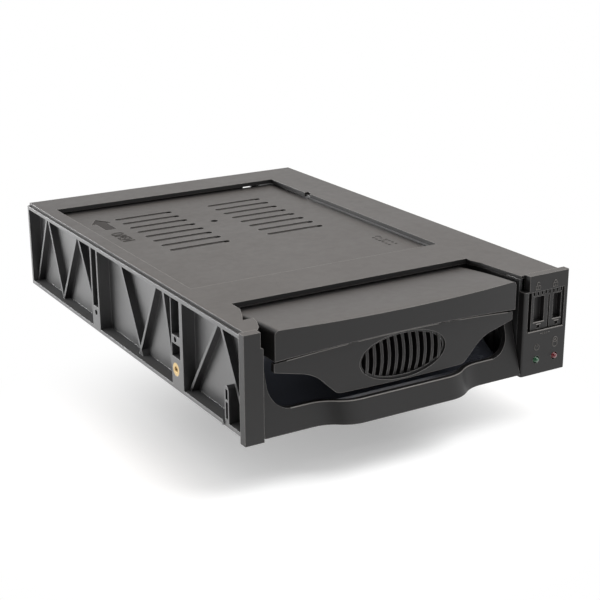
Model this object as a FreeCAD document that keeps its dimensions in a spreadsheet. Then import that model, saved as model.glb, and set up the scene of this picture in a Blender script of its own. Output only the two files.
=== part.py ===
"""Mobile rack for a half-height 5.25 inch bay that holds one 3.5 inch drive in a removable tray.

The fixed frame screws into the bay.  The tray slides out of it towards the user, its bail handle
swings out on two pins, its cover slides back off its hooks, and a slide lock at the right
of the bezel pushes a bolt into the tray.

Axes: X to the right, Y back into the bay, Z up.  Each piece is drawn with Y measured from the
face of the bezel and Z from the bezel's bottom edge.  Its Placement then moves the whole rack so that
the origin lies at the centre of the bottom of the rack's bounding box.  All lengths are in millimetres.
"""
import FreeCAD, Part
import Sketcher
import os
from FreeCAD import Vector

os.makedirs("parts", exist_ok=True)
doc = FreeCAD.newDocument("mobile_rack")

# ---------------------------------------------------------------------------------------------
# Driving dimensions
# ---------------------------------------------------------------------------------------------
DIMENSIONS = {
    # the drive, which sets the rack's width and depth
    "drive_width": 101.6,
    "drive_length": 147.0,
    "drive_front": 30.0,
    # bezel and outer body
    "bezel_depth": 3.6,
    "bezel_crown": 1.6,
    "bezel_overhang": 1.25,
    "rear_room": 18.0,
    "duct_width": 13.4,
    "body_rise": 1.6,
    "shell_height": 38.8,
    "shell_wall": 1.6,
    "web_wall": 1.2,
    "web_recess": 5.4,
    "partition_wall": 1.5,
    "drive_side_room": 8.15,
    "drive_play": 0.8,
    "connector_room": 13.0,
    "board_room": 9.0,
    # ribs and columns of the side walls
    "rib_wall": 1.3,
    "rib_height": 3.0,
    "rear_column_y": 136.75,
    "rear_column_width": 8.0,
    "rear_column_pad_height": 9.6,
    "front_column_y": 56.0,
    "front_column_width": 10.0,
    "window_width": 7.0,
    "upper_window_bottom": 24.0,
    "lower_window_bottom": 15.0,
    "lower_window_top": 20.5,
    "window_y": 57.0,
    "bay_hole_y": 57.5,
    "bay_hole_height": 8.4,
    "bay_hole_spacing": 79.25,
    "insert_radius": 2.7,
    "insert_length": 4.8,
    "insert_bore_radius": 1.25,
    "upper_hole_radius": 1.1,
    "upper_hole_rise": 12.3,
    # catch beside the left pillar, and the pip below it
    "catch_front": 14.3,
    "catch_width": 3.2,
    "catch_top": 17.8,
    "catch_round": 1.5,
    "catch_slot_wall": 0.8,
    "catch_slot_depth": 3.0,
    "catch_slot_bottom": 4.6,
    "catch_bridge_bottom": 11.2,
    "catch_bridge_top": 12.2,
    "pip_y": 18.6,
    "pip_radius": 0.9,
    "pip_length": 0.5,
    # top plate
    "plate_wall": 2.0,
    "plate_stand": 1.2,
    "plate_inset": 1.1,
    "cutout_front": 57.5,
    "cutout_rear_margin": 19.0,
    "cutout_jog_margin": 35.0,
    "cutout_margin": 0.8,
    "cutout_jog": 0.6,
    "cutout_nick_width": 4.0,
    "cutout_nick_depth": 1.3,
    "notch_rear": 34.0,
    # pillar and control panel
    "pillar_step": 35.7,
    "pillar_step_width": 1.1,
    "panel_step": 35.5,
    "panel_step_width": 2.5,
    "panel_round": 0.8,
    "lock_window_width": 18.6,
    "lock_window_bottom": 18.6,
    "lock_window_height": 16.5,
    "lock_window_margin": 2.1,
    "power_led_margin": 7.6,
    "led_pitch": 9.5,
    "led_radius": 1.5,
    "led_clearance": 0.1,
    "led_z": 6.2,
    "led_dome_y": 1.0,
    "led_collar": 0.4,
    "led_collar_length": 1.0,
    "led_tail": 1.6,
    "lead_gap": 0.8,
    "lead_size": 0.5,
    # lock
    "lock_room_depth": 24.6,
    "lock_wall": 0.8,
    "lock_travel": 2.0,
    "knob_gap": 0.2,
    "knob_front": 0.7,
    "slider_wall": 1.2,
    "slider_lap": 1.2,
    "groove_pitch": 2.0,
    "groove_width": 0.8,
    "groove_depth": 0.8,
    "groove_inset": 0.9,
    "groove_length": 1.6,
    "middle_groove_x": 9.0,
    "well_depth": 2.4,
    "left_well_inset": 1.2,
    "left_well_width": 5.4,
    "right_well_inset": 0.8,
    "right_well_width": 4.2,
    "well_bottom_margin": 3.2,
    "well_top_margin": 2.2,
    "well_foot_width": 1.7,
    "well_foot_height": 1.3,
    "well_foot_margin": 0.6,
    "bolt_height": 3.0,
    "bolt_width": 2.5,
    "bolt_wall": 1.4,
    "bolt_bottom": 16.5,
    "bolt_y": 20.5,
    "bolt_foot_length": 5.0,
    "bolt_foot_wall": 1.2,
    "bolt_rest_gap": 0.4,
    "lock_board_y": 12.0,
    "lock_board_top": 34.0,
    "lock_board_margin": 1.6,
    "lock_rib_height": 32.8,
    "switch_margin": 8.5,
    "switch_width": 9.0,
    "switch_bottom": 23.0,
    "switch_height": 6.0,
    "switch_depth": 4.2,
    "lever_inset": 4.4,
    "lever_width": 1.6,
    "lever_length": 1.4,
    "lever_margin": 1.6,
    "board_wall": 1.6,
    # joins between pads, and clearances
    "lap": 0.2,
    "overrun": 1.0,
    "side_clearance": 0.4,
    "floor_clearance": 0.4,
    "seat_clearance": 0.3,
    # tray tub
    "tub_wall": 1.8,
    "tub_floor": 1.6,
    "tub_front": 17.4,
    "guide_wall": 1.6,
    "guide_height": 5.0,
    "drive_hole_spacing": 95.25,
    "drive_hole_pitch": 44.45,
    "drive_hole_from_rear": 41.28,
    "drive_hole_radius": 2.0,
    "tab_length": 8.0,
    "tab_width": 1.7,
    "tab_wall": 1.2,
    "tab_drop": 2.6,
    "post_margin": 5.0,
    "post_width": 6.0,
    "post_height": 20.0,
    "tub_vent_offset": 13.0,
    "tub_vent_width": 12.0,
    "tub_vent_bottom": 11.0,
    "tub_vent_top": 32.0,
    "tab_front": 60.0,
    "tab_pitch": 55.0,
    # cover
    "cover_wall": 2.0,
    "cover_gap": 0.6,
    "cover_drop": 0.7,
    "vent_margin": 82.0,
    "dimple_margin": 49.0,
    "cover_inset": 0.1,
    "vent_pitch": 8.3,
    "vent_width": 3.0,
    "vent_length": 28.9,
    "vent_centre": 24.0,
    "dimple_radius": 1.8,
    "dimple_depth": 0.8,
    "hook_wall": 1.1,
    "arrow_inset": 12.2,
    "arrow_margin": 19.0,
    "arrow_head": 7.5,
    "arrow_length": 19.0,
    "arrow_half": 5.0,
    "arrow_shaft_half": 2.6,
    "arrow_depth": 0.35,
    # head of the tray
    "head_side_gap": 4.6,
    "head_rise": 1.1,
    "head_fall": 3.2,
    "head_height": 11.9,
    "head_roof": 5.5,
    "head_bulge": 4.0,
    "head_depth": 35.0,
    "head_arch": 3.4,
    "head_wall": 1.8,
    "head_crest_y": -1.5,
    "head_slope_y": 16.5,
    "head_slope_crown": 0.5,
    "head_arch_depth": 6.0,
    "head_round": 2.0,
    # vent fascia and grille
    "fascia_side_gap": 0.25,
    "fascia_gap": 1.1,
    "fascia_front": 1.2,
    "fascia_bulge": 3.0,
    "fascia_wall": 2.0,
    "fascia_arch": 3.4,
    "fascia_end_height": 3.3,
    "fascia_bottom": 12.6,
    "fascia_foot_half": 28.0,
    "fascia_foot_round": 1.4,
    "duct_half": 22.0,
    "duct_wall": 1.4,
    "duct_rear": 21.6,
    "duct_bottom": 14.6,
    "duct_front_top": 30.6,
    "duct_shoulder_y": 3.2,
    "duct_bevel": 2.0,
    "oval_half_width": 19.5,
    "oval_half_height": 9.2,
    "oval_z": 22.4,
    "oval_rim": 1.0,
    "ring_setback": 1.0,
    "ring_reach": 5.8,
    "bar_pitch": 3.27,
    "bar_width": 1.2,
    "bar_depth": 2.6,
    "bar_bulge": 2.2,
    "bar_recess": 2.2,
    # finger scoop
    "scoop_front": 6.6,
    "scoop_gap": 0.2,
    "scoop_radius": 17.4,
    "scoop_wall": 1.6,
    "scoop_vent_half": 19.0,
    "scoop_vent_bottom": 15.0,
    "scoop_vent_top": 27.0,
    # bail handle
    "bar_bottom": 1.2,
    "bar_height": 8.4,
    "bail_wall": 2.4,
    "bail_lean": 0.33,
    "bail_side": 3.9,
    "bail_corner": 9.0,
    "arm_root_z": 6.0,
    "arm_root_wall": 3.6,
    "arm_inset": 1.0,
    "wave_depth": 6.3,
    "wave_inner": 20.0,
    "wave_outer": 38.5,
    "pivot_y": 13.0,
    "pivot_rise": 3.4,
    "bail_head": 3.2,
    "pivot_boss_radius": 3.4,
    "pin_radius": 1.5,
    "pin_clearance": 0.08,
    # docking and boards
    "backplane_margin": 8.2,
    "adapter_side_room": 12.95,
    "backplane_side_room": 8.95,
    "adapter_bottom": 6.4,
    "adapter_height": 24.0,
    "backplane_bottom": 5.0,
    "backplane_height": 17.5,
    "dock_half_width": 32.0,
    "dock_z": 14.0,
    "dock_height": 8.0,
    "tongue_wall": 4.0,
    "tongue_reach": 4.6,
    "dock_clearance": 0.4,
    "dock_gap": 1.0,
    "dock_port_side": 3.0,
    "dock_port_top": 1.4,
    "socket_side": 2.0,
    "socket_top": 1.0,
    "drive_plug_half": 24.0,
    "drive_plug_bottom": 7.4,
    "drive_plug_height": 7.2,
    "drive_plug_depth": 7.0,
    "drive_mouth_side": 3.0,
    "drive_mouth_key": 3.0,
    "drive_mouth_margin": 2.0,
    "drive_mouth_depth": 5.0,
    "board_screw_margin": 4.0,
    "standoff_radius": 3.0,
    "adapter_screw_z": 20.0,
    # connectors and vents at the rear
    "port_clearance": 1.0,
    "connector_base": 1.2,
    "inlet_margin": 16.0,
    "inlet_z": 13.5,
    "inlet_width": 22.0,
    "inlet_height": 10.2,
    "inlet_wall": 1.0,
    "inlet_chamfer": 2.0,
    "inlet_pin_radius": 1.05,
    "inlet_pin_pitch": 5.08,
    "port_pitch": 36.0,
    "data_z": 13.0,
    "data_width": 14.8,
    "data_height": 6.8,
    "data_wall": 1.2,
    "data_tongue_width": 9.4,
    "data_tongue_wall": 1.2,
    "data_key_height": 0.6,
    "rear_vent_margin": 12.0,
    "rear_vent_pitch": 13.5,
    "rear_vent_width": 6.0,
    "rear_vent_bottom": 23.5,
    "rear_vent_top": 31.0,
    "cable_slot_bottom": 31.5,
    "cable_slot_top": 36.5,
    "cable_slot_width": 5.0,
    "cable_slot_margin": 3.0,
    "side_vent_margin": 31.0,
    "side_vent_length": 10.0,
    "side_vent_bottom": 25.0,
    "side_vent_height": 7.0,
    "screw_radius": 1.4,
    "screw_head_radius": 2.6,
    "screw_head_height": 1.6,
}

# Places that follow from the driving dimensions, as formulas of a second sheet.
PLACES = {
    "slot_width": "=dim.drive_width + 2 * dim.drive_side_room",
    "slot_half": "=slot_width / 2",
    "web_reach": "=dim.web_recess + dim.web_wall",
    "body_width": "=slot_width + 2 * web_reach + dim.partition_wall + dim.duct_width",
    "body_half": "=body_width / 2",
    "bezel_half": "=body_half + dim.bezel_overhang",
    "web_face": "=body_half - dim.web_recess",
    "web_inside": "=body_half - web_reach",
    "slot_right": "=slot_width - web_inside",
    "slot_centre": "=slot_half - web_inside",
    "tray_half": "=slot_half - dim.side_clearance",
    "head_half": "=slot_half - dim.head_side_gap",
    "fascia_half": "=head_half - dim.fascia_side_gap",
    "guide_half": "=(dim.drive_width + dim.drive_play) / 2",
    "adapter_y": "=dim.drive_front + dim.drive_length + dim.connector_room",
    "tub_rear": "=adapter_y + dim.board_room",
    "body_depth": "=tub_rear + dim.rear_room",
    "backplane_y": "=body_depth - dim.backplane_margin",
    "adapter_half_width": "=slot_half - dim.adapter_side_room",
    "backplane_half_width": "=slot_half - dim.backplane_side_room",
    "inlet_x": "=-backplane_half_width + dim.inlet_margin",
    "data_x": "=inlet_x + dim.port_pitch",
    "cutout_rear": "=body_depth - dim.cutout_rear_margin",
    "cutout_jog_y": "=cutout_rear - dim.cutout_jog_margin",
    "cover_front": "=dim.head_depth + dim.cover_gap",
    "vent_front": "=tub_rear - dim.vent_margin",
    "dimple_y": "=tub_rear - dim.dimple_margin",
    "floor_top": "=dim.body_rise + dim.shell_wall",
    "shell_top": "=dim.body_rise + dim.shell_height",
    "flange_bottom": "=shell_top - dim.shell_wall",
    "bezel_height": "=shell_top + dim.bezel_crown",
    "plate_bottom": "=shell_top + dim.plate_stand - dim.plate_wall",
    "tray_bottom": "=floor_top + dim.floor_clearance",
    "cover_bottom": "=plate_bottom - dim.cover_drop - dim.cover_wall",
    "tub_top": "=cover_bottom - dim.seat_clearance",
    "head_top": "=shell_top + dim.head_rise",
    "head_rear_top": "=head_top - dim.head_fall",
    "head_bottom": "=head_top - dim.head_height",
    "head_ceiling": "=head_top - dim.head_roof",
    "fascia_top": "=head_bottom - dim.fascia_gap",
    "scoop_top": "=head_bottom - dim.scoop_gap",
    "pivot_z": "=head_bottom + dim.pivot_rise",
    "bail_top": "=pivot_z + dim.bail_head",
    "lock_window_left": "=slot_right + dim.lock_window_margin",
    "power_led_x": "=slot_right + dim.power_led_margin",
    "activity_led_x": "=power_led_x + dim.led_pitch",
    "switch_left": "=slot_right + dim.switch_margin",
    "front_y": "=(dim.wave_depth - body_depth) / 2",
}


def fill_sheet(name, cells):
    sheet = doc.addObject("Spreadsheet::Sheet", name)
    for row, (alias, content) in enumerate(cells.items(), start=1):
        sheet.set(f"A{row}", alias)
        sheet.set(f"B{row}", str(content))
        sheet.setAlias(f"B{row}", alias)
    return sheet


dim = fill_sheet("dim", DIMENSIONS)
doc.recompute()
pos = fill_sheet("pos", PLACES)
doc.recompute()


NEAR = 1e-3
DIAGONAL = 0.70711


def number(expression):
    """The present value of an expression over the two sheets."""
    return float(dim.evalExpression(str(expression)))


# ---------------------------------------------------------------------------------------------
# Helpers for sketches and features
# ---------------------------------------------------------------------------------------------
def new_body(label, on_tray=False):
    """A body placed by the sheets.  A piece of the tray is drawn about the middle of the slot."""
    body = doc.addObject("PartDesign::Body", label)
    body.Label = label
    body.setExpression("Placement.Base.y", "pos.front_y")
    if on_tray:
        body.setExpression("Placement.Base.x", "pos.slot_centre")
    return body


def new_sketch(body, plane, name, at="0"):
    """A sketch on the XY, XZ or YZ plane of the body, moved to the given Z, Y or X."""
    sketch = body.newObject("Sketcher::SketchObject", name)
    origin_plane = next(f for f in body.Origin.OriginFeatures if f.Role == plane + "_Plane")
    sketch.AttachmentSupport = (origin_plane, "")
    sketch.MapMode = "FlatFace"
    sign = "-" if plane == "XZ" else ""
    sketch.setExpression("AttachmentOffset.Base.z", f"{sign}({at})")
    return sketch


def pin_point(sketch, geometry, vertex, x, y):
    """Fix a vertex by its two coordinates, each bound to an expression."""
    first = sketch.addConstraint(Sketcher.Constraint("DistanceX", -1, 1, geometry, vertex, number(x)))
    sketch.setExpression(f"Constraints[{first}]", str(x))
    second = sketch.addConstraint(Sketcher.Constraint("DistanceY", -1, 1, geometry, vertex, number(y)))
    sketch.setExpression(f"Constraints[{second}]", str(y))


def draw_outline(sketch, corners):
    """A closed outline.  A corner is (x, y), or (x, y, via_x, via_y) where an arc leads to the next."""
    count = len(corners)
    edges = []
    for index, corner in enumerate(corners):
        following = corners[(index + 1) % count]
        start = Vector(number(corner[0]), number(corner[1]), 0)
        end = Vector(number(following[0]), number(following[1]), 0)
        if len(corner) == 2:
            edges.append((sketch.addGeometry(Part.LineSegment(start, end), False), 1, 2))
            continue
        via = Vector(number(corner[2]), number(corner[3]), 0)
        arc = sketch.addGeometry(Part.Arc(start, via, end), False)
        first_vertex = 1 if (sketch.getPoint(arc, 1) - start).Length < 1e-6 else 2
        edges.append((arc, first_vertex, 3 - first_vertex))
        mark = sketch.addGeometry(Part.Point(via), True)
        pin_point(sketch, mark, 1, corner[2], corner[3])
        sketch.addConstraint(Sketcher.Constraint("PointOnObject", mark, 1, arc))
    for index, (edge, first_vertex, last_vertex) in enumerate(edges):
        follower = edges[(index + 1) % count]
        sketch.addConstraint(Sketcher.Constraint("Coincident", edge, last_vertex, follower[0], follower[1]))
        pin_point(sketch, edge, first_vertex, corners[index][0], corners[index][1])


def draw_box(sketch, left, right, bottom, top):
    draw_outline(sketch, [(left, bottom), (right, bottom), (right, top), (left, top)])


def draw_circle(sketch, x, y, radius):
    centre = Vector(number(x), number(y), 0)
    circle = sketch.addGeometry(Part.Circle(centre, Vector(0, 0, 1), number(radius)), False)
    pin_point(sketch, circle, 3, x, y)
    bound = sketch.addConstraint(Sketcher.Constraint("Radius", circle, number(radius)))
    sketch.setExpression(f"Constraints[{bound}]", str(radius))


def draw_slot(sketch, left, right, y, width):
    """A slot along X with round ends."""
    low = f"({y}) - ({width}) / 2"
    high = f"({y}) + ({width}) / 2"
    draw_outline(sketch, [
        (f"({left}) + ({width}) / 2", low),
        (f"({right}) - ({width}) / 2", low, right, y),
        (f"({right}) - ({width}) / 2", high),
        (f"({left}) + ({width}) / 2", high, left, y)])


def normal_sign(sketch):
    """-1 where the sketch's normal points down its world axis, as on the XZ plane."""
    return -1 if sketch.AttachmentSupport[0][0].Role == "XZ_Plane" else 1


def add(body, sketch, length, towards=1):
    """Pad a sketch up (1) or down (-1) the world axis that it faces, or both ways (0)."""
    pad = body.newObject("PartDesign::Pad", sketch.Name + "_pad")
    pad.Profile = sketch
    pad.setExpression("Length", str(length))
    if towards == 0:
        pad.SideType = "Symmetric"
    pad.Reversed = towards * normal_sign(sketch) < 0
    sketch.Visibility = False
    return pad


def cut(body, sketch, length, towards=1):
    """Pocket a sketch up (1) or down (-1) the world axis that it faces, or both ways (0)."""
    pocket = body.newObject("PartDesign::Pocket", sketch.Name + "_pocket")
    pocket.Profile = sketch
    pocket.setExpression("Length", str(length))
    if towards == 0:
        pocket.SideType = "Symmetric"
    pocket.Reversed = towards * normal_sign(sketch) > 0
    sketch.Visibility = False
    return pocket


def mirror(body, features):
    """Repeat features on the other side of the body's YZ plane."""
    mirrored = body.newObject("PartDesign::Mirrored", features[0].Name + "_mirror")
    mirrored.Originals = features
    mirrored.MirrorPlane = (next(f for f in body.Origin.OriginFeatures if f.Role == "YZ_Plane"), [""])
    body.Tip = mirrored
    return mirrored


def row(body, features, axis, count, pitch):
    """Repeat features along one of the body's axes at a bound pitch."""
    pattern = body.newObject("PartDesign::LinearPattern", features[0].Name + "_row")
    pattern.Originals = features
    pattern.Direction = (next(f for f in body.Origin.OriginFeatures if f.Role == axis + "_Axis"), [""])
    pattern.Mode = "Spacing"
    pattern.Occurrences = count
    pattern.setExpression("Offset", str(pitch))
    body.Tip = pattern
    return pattern


def round_edges(body, radius, chosen):
    """Fillet the edges of the tip for which chosen(edge) is true."""
    doc.recompute()
    tip = body.Tip
    names = [f"Edge{i}" for i, edge in enumerate(tip.Shape.Edges, start=1) if chosen(edge)]
    if not names:
        raise RuntimeError(f"{body.Label}: no edge to round")
    fillet = body.newObject("PartDesign::Fillet", body.Name + "_fillet")
    fillet.Base = (tip, names)
    fillet.setExpression("Radius", str(radius))
    return fillet


# ---------------------------------------------------------------------------------------------
# Frame: body shell
# ---------------------------------------------------------------------------------------------
def make_body_shell():
    """Floor, ribbed side webs, partition of the wiring duct and rear wall, one black moulding."""
    body = new_body("body_shell")
    section = new_sketch(body, "XZ", "shell_section", "dim.bezel_depth")
    flange = "pos.flange_bottom"
    duct_left = "pos.slot_right + dim.partition_wall"
    draw_outline(section, [
        ("-pos.body_half", "dim.body_rise"), ("pos.body_half", "dim.body_rise"),
        ("pos.body_half", "pos.floor_top"), ("pos.web_face", "pos.floor_top"),
        ("pos.web_face", flange), ("pos.body_half", flange),
        ("pos.body_half", "pos.shell_top"), ("pos.web_inside", "pos.shell_top"),
        ("pos.web_inside", "pos.floor_top"), (duct_left, "pos.floor_top"),
        (duct_left, "pos.shell_top"), ("pos.slot_right", "pos.shell_top"),
        ("pos.slot_right", "pos.floor_top"), ("-pos.web_inside", "pos.floor_top"),
        ("-pos.web_inside", "pos.shell_top"), ("-pos.body_half", "pos.shell_top"),
        ("-pos.body_half", flange), ("-pos.web_face", flange),
        ("-pos.web_face", "pos.floor_top"), ("-pos.body_half", "pos.floor_top")])
    add(body, section, "pos.body_depth - dim.bezel_depth")

    rear = new_sketch(body, "XZ", "rear_wall", "pos.body_depth - dim.shell_wall")
    draw_box(rear, "-pos.body_half", "pos.body_half", "dim.body_rise", "pos.shell_top")
    add(body, rear, "dim.shell_wall")

    add_lock_room(body)
    add_side_ribs(body)
    add_rear_openings(body)
    return body


def add_lock_room(body):
    """Flush outer wall, cross wall and board rib round the slide lock behind the control panel."""
    gone = new_sketch(body, "XY", "lock_room_web", "pos.floor_top")
    draw_box(gone, "pos.web_inside - dim.lap", "pos.web_face + dim.lap",
             "dim.bezel_depth - dim.overrun", "dim.lock_room_depth")
    cut(body, gone, "pos.flange_bottom - pos.floor_top")

    walls = new_sketch(body, "XY", "lock_room_walls", "pos.floor_top - dim.lap")
    inner_x = "pos.body_half - dim.lock_wall"
    cross_back = "dim.lock_room_depth + dim.lock_wall"
    draw_outline(walls, [
        ("pos.body_half", "dim.bezel_depth"), ("pos.body_half", cross_back),
        ("pos.slot_right + dim.partition_wall / 2", cross_back),
        ("pos.slot_right + dim.partition_wall / 2", "dim.lock_room_depth"),
        (inner_x, "dim.lock_room_depth"), (inner_x, "dim.bezel_depth")])
    add(body, walls, "pos.shell_top - pos.floor_top")

    rib = new_sketch(body, "XY", "lock_board_rib", "pos.floor_top - dim.lap")
    rib_front = "dim.lock_board_y + dim.board_wall"
    draw_box(rib, "pos.power_led_x", "pos.body_half - dim.lock_wall / 2", rib_front,
             f"{rib_front} + dim.lock_wall")
    add(body, rib, "dim.lock_rib_height")

    passage = new_sketch(body, "YZ", "bolt_passage", "pos.slot_right + dim.partition_wall / 2")
    draw_box(passage, "dim.bolt_y - dim.seat_clearance",
             "dim.bolt_y + dim.bolt_width + dim.seat_clearance",
             "dim.bolt_bottom - dim.seat_clearance",
             "dim.bolt_bottom + dim.bolt_height + dim.seat_clearance")
    cut(body, passage, "dim.partition_wall * 2", 0)


# Zigzag ribs as (Y at the lower end, Y at the upper end).  The rear ones are measured from the rear.
REAR_RIBS = [(-1.5, -19.3), (-35.0, -20.0), (-35.0, -56.2), (-76.4, -56.2)]
MIDDLE_RIBS = [(94.6, 114.2), (97.2, 78.4), (64.4, 72.9)]
FRONT_RIBS = [(50.4, 25.6)]
PILLAR_RIBS = [(4.8, 24.6)]


def rib_pads(body, name, ribs, origin="0"):
    """Low ribs on the left web.  Each is a pad of its own, because ribs meet at their ends."""
    bottom = "pos.floor_top - dim.lap"
    top = "pos.flange_bottom + dim.lap"
    half = "dim.rib_wall * 0.6"
    pads = []
    for index, (lower_y, upper_y) in enumerate(ribs, start=1):
        sketch = new_sketch(body, "YZ", f"{name}_{index}", "-pos.web_face - dim.rib_height")
        draw_outline(sketch, [
            (f"{origin} + ({lower_y}) - {half}", bottom), (f"{origin} + ({lower_y}) + {half}", bottom),
            (f"{origin} + ({upper_y}) + {half}", top), (f"{origin} + ({upper_y}) - {half}", top)])
        pads.append(add(body, sketch, "dim.rib_height + dim.web_wall / 2"))
    return pads


def add_side_ribs(body):
    """Zigzag ribs and screw columns in the recess of each side."""
    both = rib_pads(body, "rear_rib", REAR_RIBS, "pos.body_depth")
    both += rib_pads(body, "middle_rib", MIDDLE_RIBS)
    both += rib_pads(body, "front_rib", FRONT_RIBS)
    reach = "dim.web_recess + dim.web_wall / 2"
    bottom = "pos.floor_top - dim.lap"
    top = "pos.flange_bottom + dim.lap"

    for side in (-1, 1):
        edge = new_sketch(body, "YZ", f"rear_column_rib_{side + 2}", "-pos.body_half")
        middle = f"dim.rear_column_y + ({side}) * (dim.rear_column_width - dim.rib_wall) / 2"
        draw_box(edge, f"{middle} - dim.rib_wall / 2", f"{middle} + dim.rib_wall / 2", bottom, top)
        both.append(add(body, edge, reach))
    foot = new_sketch(body, "YZ", "rear_column_pad", "-pos.body_half")
    draw_box(foot, "dim.rear_column_y - dim.rear_column_width / 2",
             "dim.rear_column_y + dim.rear_column_width / 2", bottom,
             "pos.floor_top + dim.rear_column_pad_height")
    both.append(add(body, foot, reach))

    column = new_sketch(body, "YZ", "front_column", "-pos.body_half")
    draw_box(column, "dim.front_column_y - dim.front_column_width / 2",
             "dim.front_column_y + dim.front_column_width / 2", bottom, top)
    both.append(add(body, column, reach))

    left = "dim.window_y - dim.window_width / 2"
    right = "dim.window_y + dim.window_width / 2"
    through = "dim.web_recess + dim.web_wall + dim.overrun"
    upper = new_sketch(body, "YZ", "upper_window", "-pos.body_half")
    draw_box(upper, left, right, "dim.upper_window_bottom", "pos.flange_bottom")
    both.append(cut(body, upper, through))
    lower = new_sketch(body, "YZ", "lower_window", "-pos.body_half")
    draw_box(lower, left, right, "dim.lower_window_bottom", "dim.lower_window_top")
    both.append(cut(body, lower, through))

    bores = new_sketch(body, "YZ", "insert_bores", "-pos.body_half")
    height = "dim.body_rise + dim.bay_hole_height"
    draw_circle(bores, "dim.bay_hole_y", height, "dim.insert_radius")
    both.append(cut(body, bores, "dim.insert_length"))
    plain = new_sketch(body, "YZ", "plain_holes", "-pos.body_half")
    draw_circle(plain, "dim.bay_hole_y", f"{height} + dim.upper_hole_rise", "dim.upper_hole_radius")
    draw_circle(plain, "dim.bay_hole_y + dim.bay_hole_spacing", height, "dim.insert_bore_radius")
    both.append(cut(body, plain, "dim.insert_length"))
    mirror(body, both)

    rib_pads(body, "pillar_rib", PILLAR_RIBS)
    block = new_sketch(body, "YZ", "catch_block", "-pos.body_half")
    left = "dim.catch_front"
    right = "(dim.catch_front + dim.catch_width)"
    middle = "(dim.catch_front + dim.catch_width / 2)"
    shoulder = "dim.catch_top - dim.catch_round"
    draw_outline(block, [(left, bottom), (right, bottom), (right, shoulder, middle, "dim.catch_top"),
                         (left, shoulder)])
    add(body, block, reach)
    slots = new_sketch(body, "YZ", "catch_slots", "-pos.body_half")
    slot_left = f"{left} + dim.catch_slot_wall"
    slot_right = f"{right} - dim.catch_slot_wall"
    draw_box(slots, slot_left, slot_right, "dim.catch_slot_bottom", "dim.catch_bridge_bottom")
    draw_box(slots, slot_left, slot_right, "dim.catch_bridge_top", shoulder)
    cut(body, slots, "dim.catch_slot_depth")
    pip = new_sketch(body, "YZ", "moulding_pip", "-pos.body_half - dim.pip_length")
    draw_circle(pip, "dim.pip_y", "dim.body_rise + dim.pip_radius", "dim.pip_radius")
    add(body, pip, "dim.pip_length + dim.lap")


def add_rear_openings(body):
    """Standoffs for the backplane, cut-outs for its connectors and a row of vents above them."""
    standoffs = new_sketch(body, "XZ", "standoffs", "pos.backplane_y + dim.board_wall")
    for side in (-1, 1):
        reach = f"({side}) * (pos.backplane_half_width - dim.board_screw_margin)"
        draw_circle(standoffs, f"pos.slot_centre + {reach}", "dim.backplane_bottom + dim.backplane_height / 2",
                    "dim.standoff_radius")
    add(body, standoffs, "pos.body_depth - dim.shell_wall / 2 - pos.backplane_y - dim.board_wall")

    wall_front = "pos.body_depth - dim.shell_wall - dim.overrun"
    through = "dim.shell_wall + 2 * dim.overrun"
    ports = new_sketch(body, "XZ", "rear_ports", wall_front)
    for port in ("inlet", "data"):
        half_width = f"(dim.{port}_width / 2 + dim.port_clearance)"
        half_height = f"(dim.{port}_height / 2 + dim.port_clearance)"
        draw_box(ports, f"pos.{port}_x - {half_width}", f"pos.{port}_x + {half_width}",
                 f"dim.{port}_z - {half_height}", f"dim.{port}_z + {half_height}")
    duct_left = "pos.slot_right + dim.partition_wall"
    tray_side = "(pos.slot_right - dim.cable_slot_margin)"
    for left, right in ((f"{tray_side} - dim.cable_slot_width", tray_side),
                        (f"{duct_left} + dim.seat_clearance", f"{duct_left} + dim.cable_slot_width")):
        draw_box(ports, left, right, "dim.cable_slot_bottom", "dim.cable_slot_top")
    cut(body, ports, through)

    vent = new_sketch(body, "XZ", "rear_vent", wall_front)
    first = "pos.web_inside - dim.rear_vent_margin"
    draw_box(vent, f"{first} - dim.rear_vent_width", first, "dim.rear_vent_bottom", "dim.rear_vent_top")
    first_vent = cut(body, vent, through)
    pattern = row(body, [first_vent], "X", 9, "dim.rear_vent_pitch")
    pattern.Reversed = True

    side = new_sketch(body, "YZ", "side_vent", "pos.web_inside - dim.overrun")
    side_front = "pos.body_depth - dim.side_vent_margin"
    draw_box(side, side_front, f"{side_front} + dim.side_vent_length",
             "dim.side_vent_bottom", "dim.side_vent_bottom + dim.side_vent_height")
    cut(body, side, "dim.web_wall + 2 * dim.overrun")


# Edges of the notch round the tray's head, as (distance in from that side of the slot, Y).
NOTCH_LEFT = [(-0.4, "dim.bezel_depth"), (1.8, 6.3), (4.2, 12.2), (4.7, 15.6), (0.6, 15.6), (0.6, 16.2),
              (2.2, 19.0), (5.6, 27.0), (5.6, "dim.notch_rear")]
NOTCH_RIGHT = [(2.9, "dim.notch_rear"), (2.9, 31.0), (1.3, 26.0), (0.6, 17.3), (-0.7, "dim.bezel_depth")]


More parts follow.
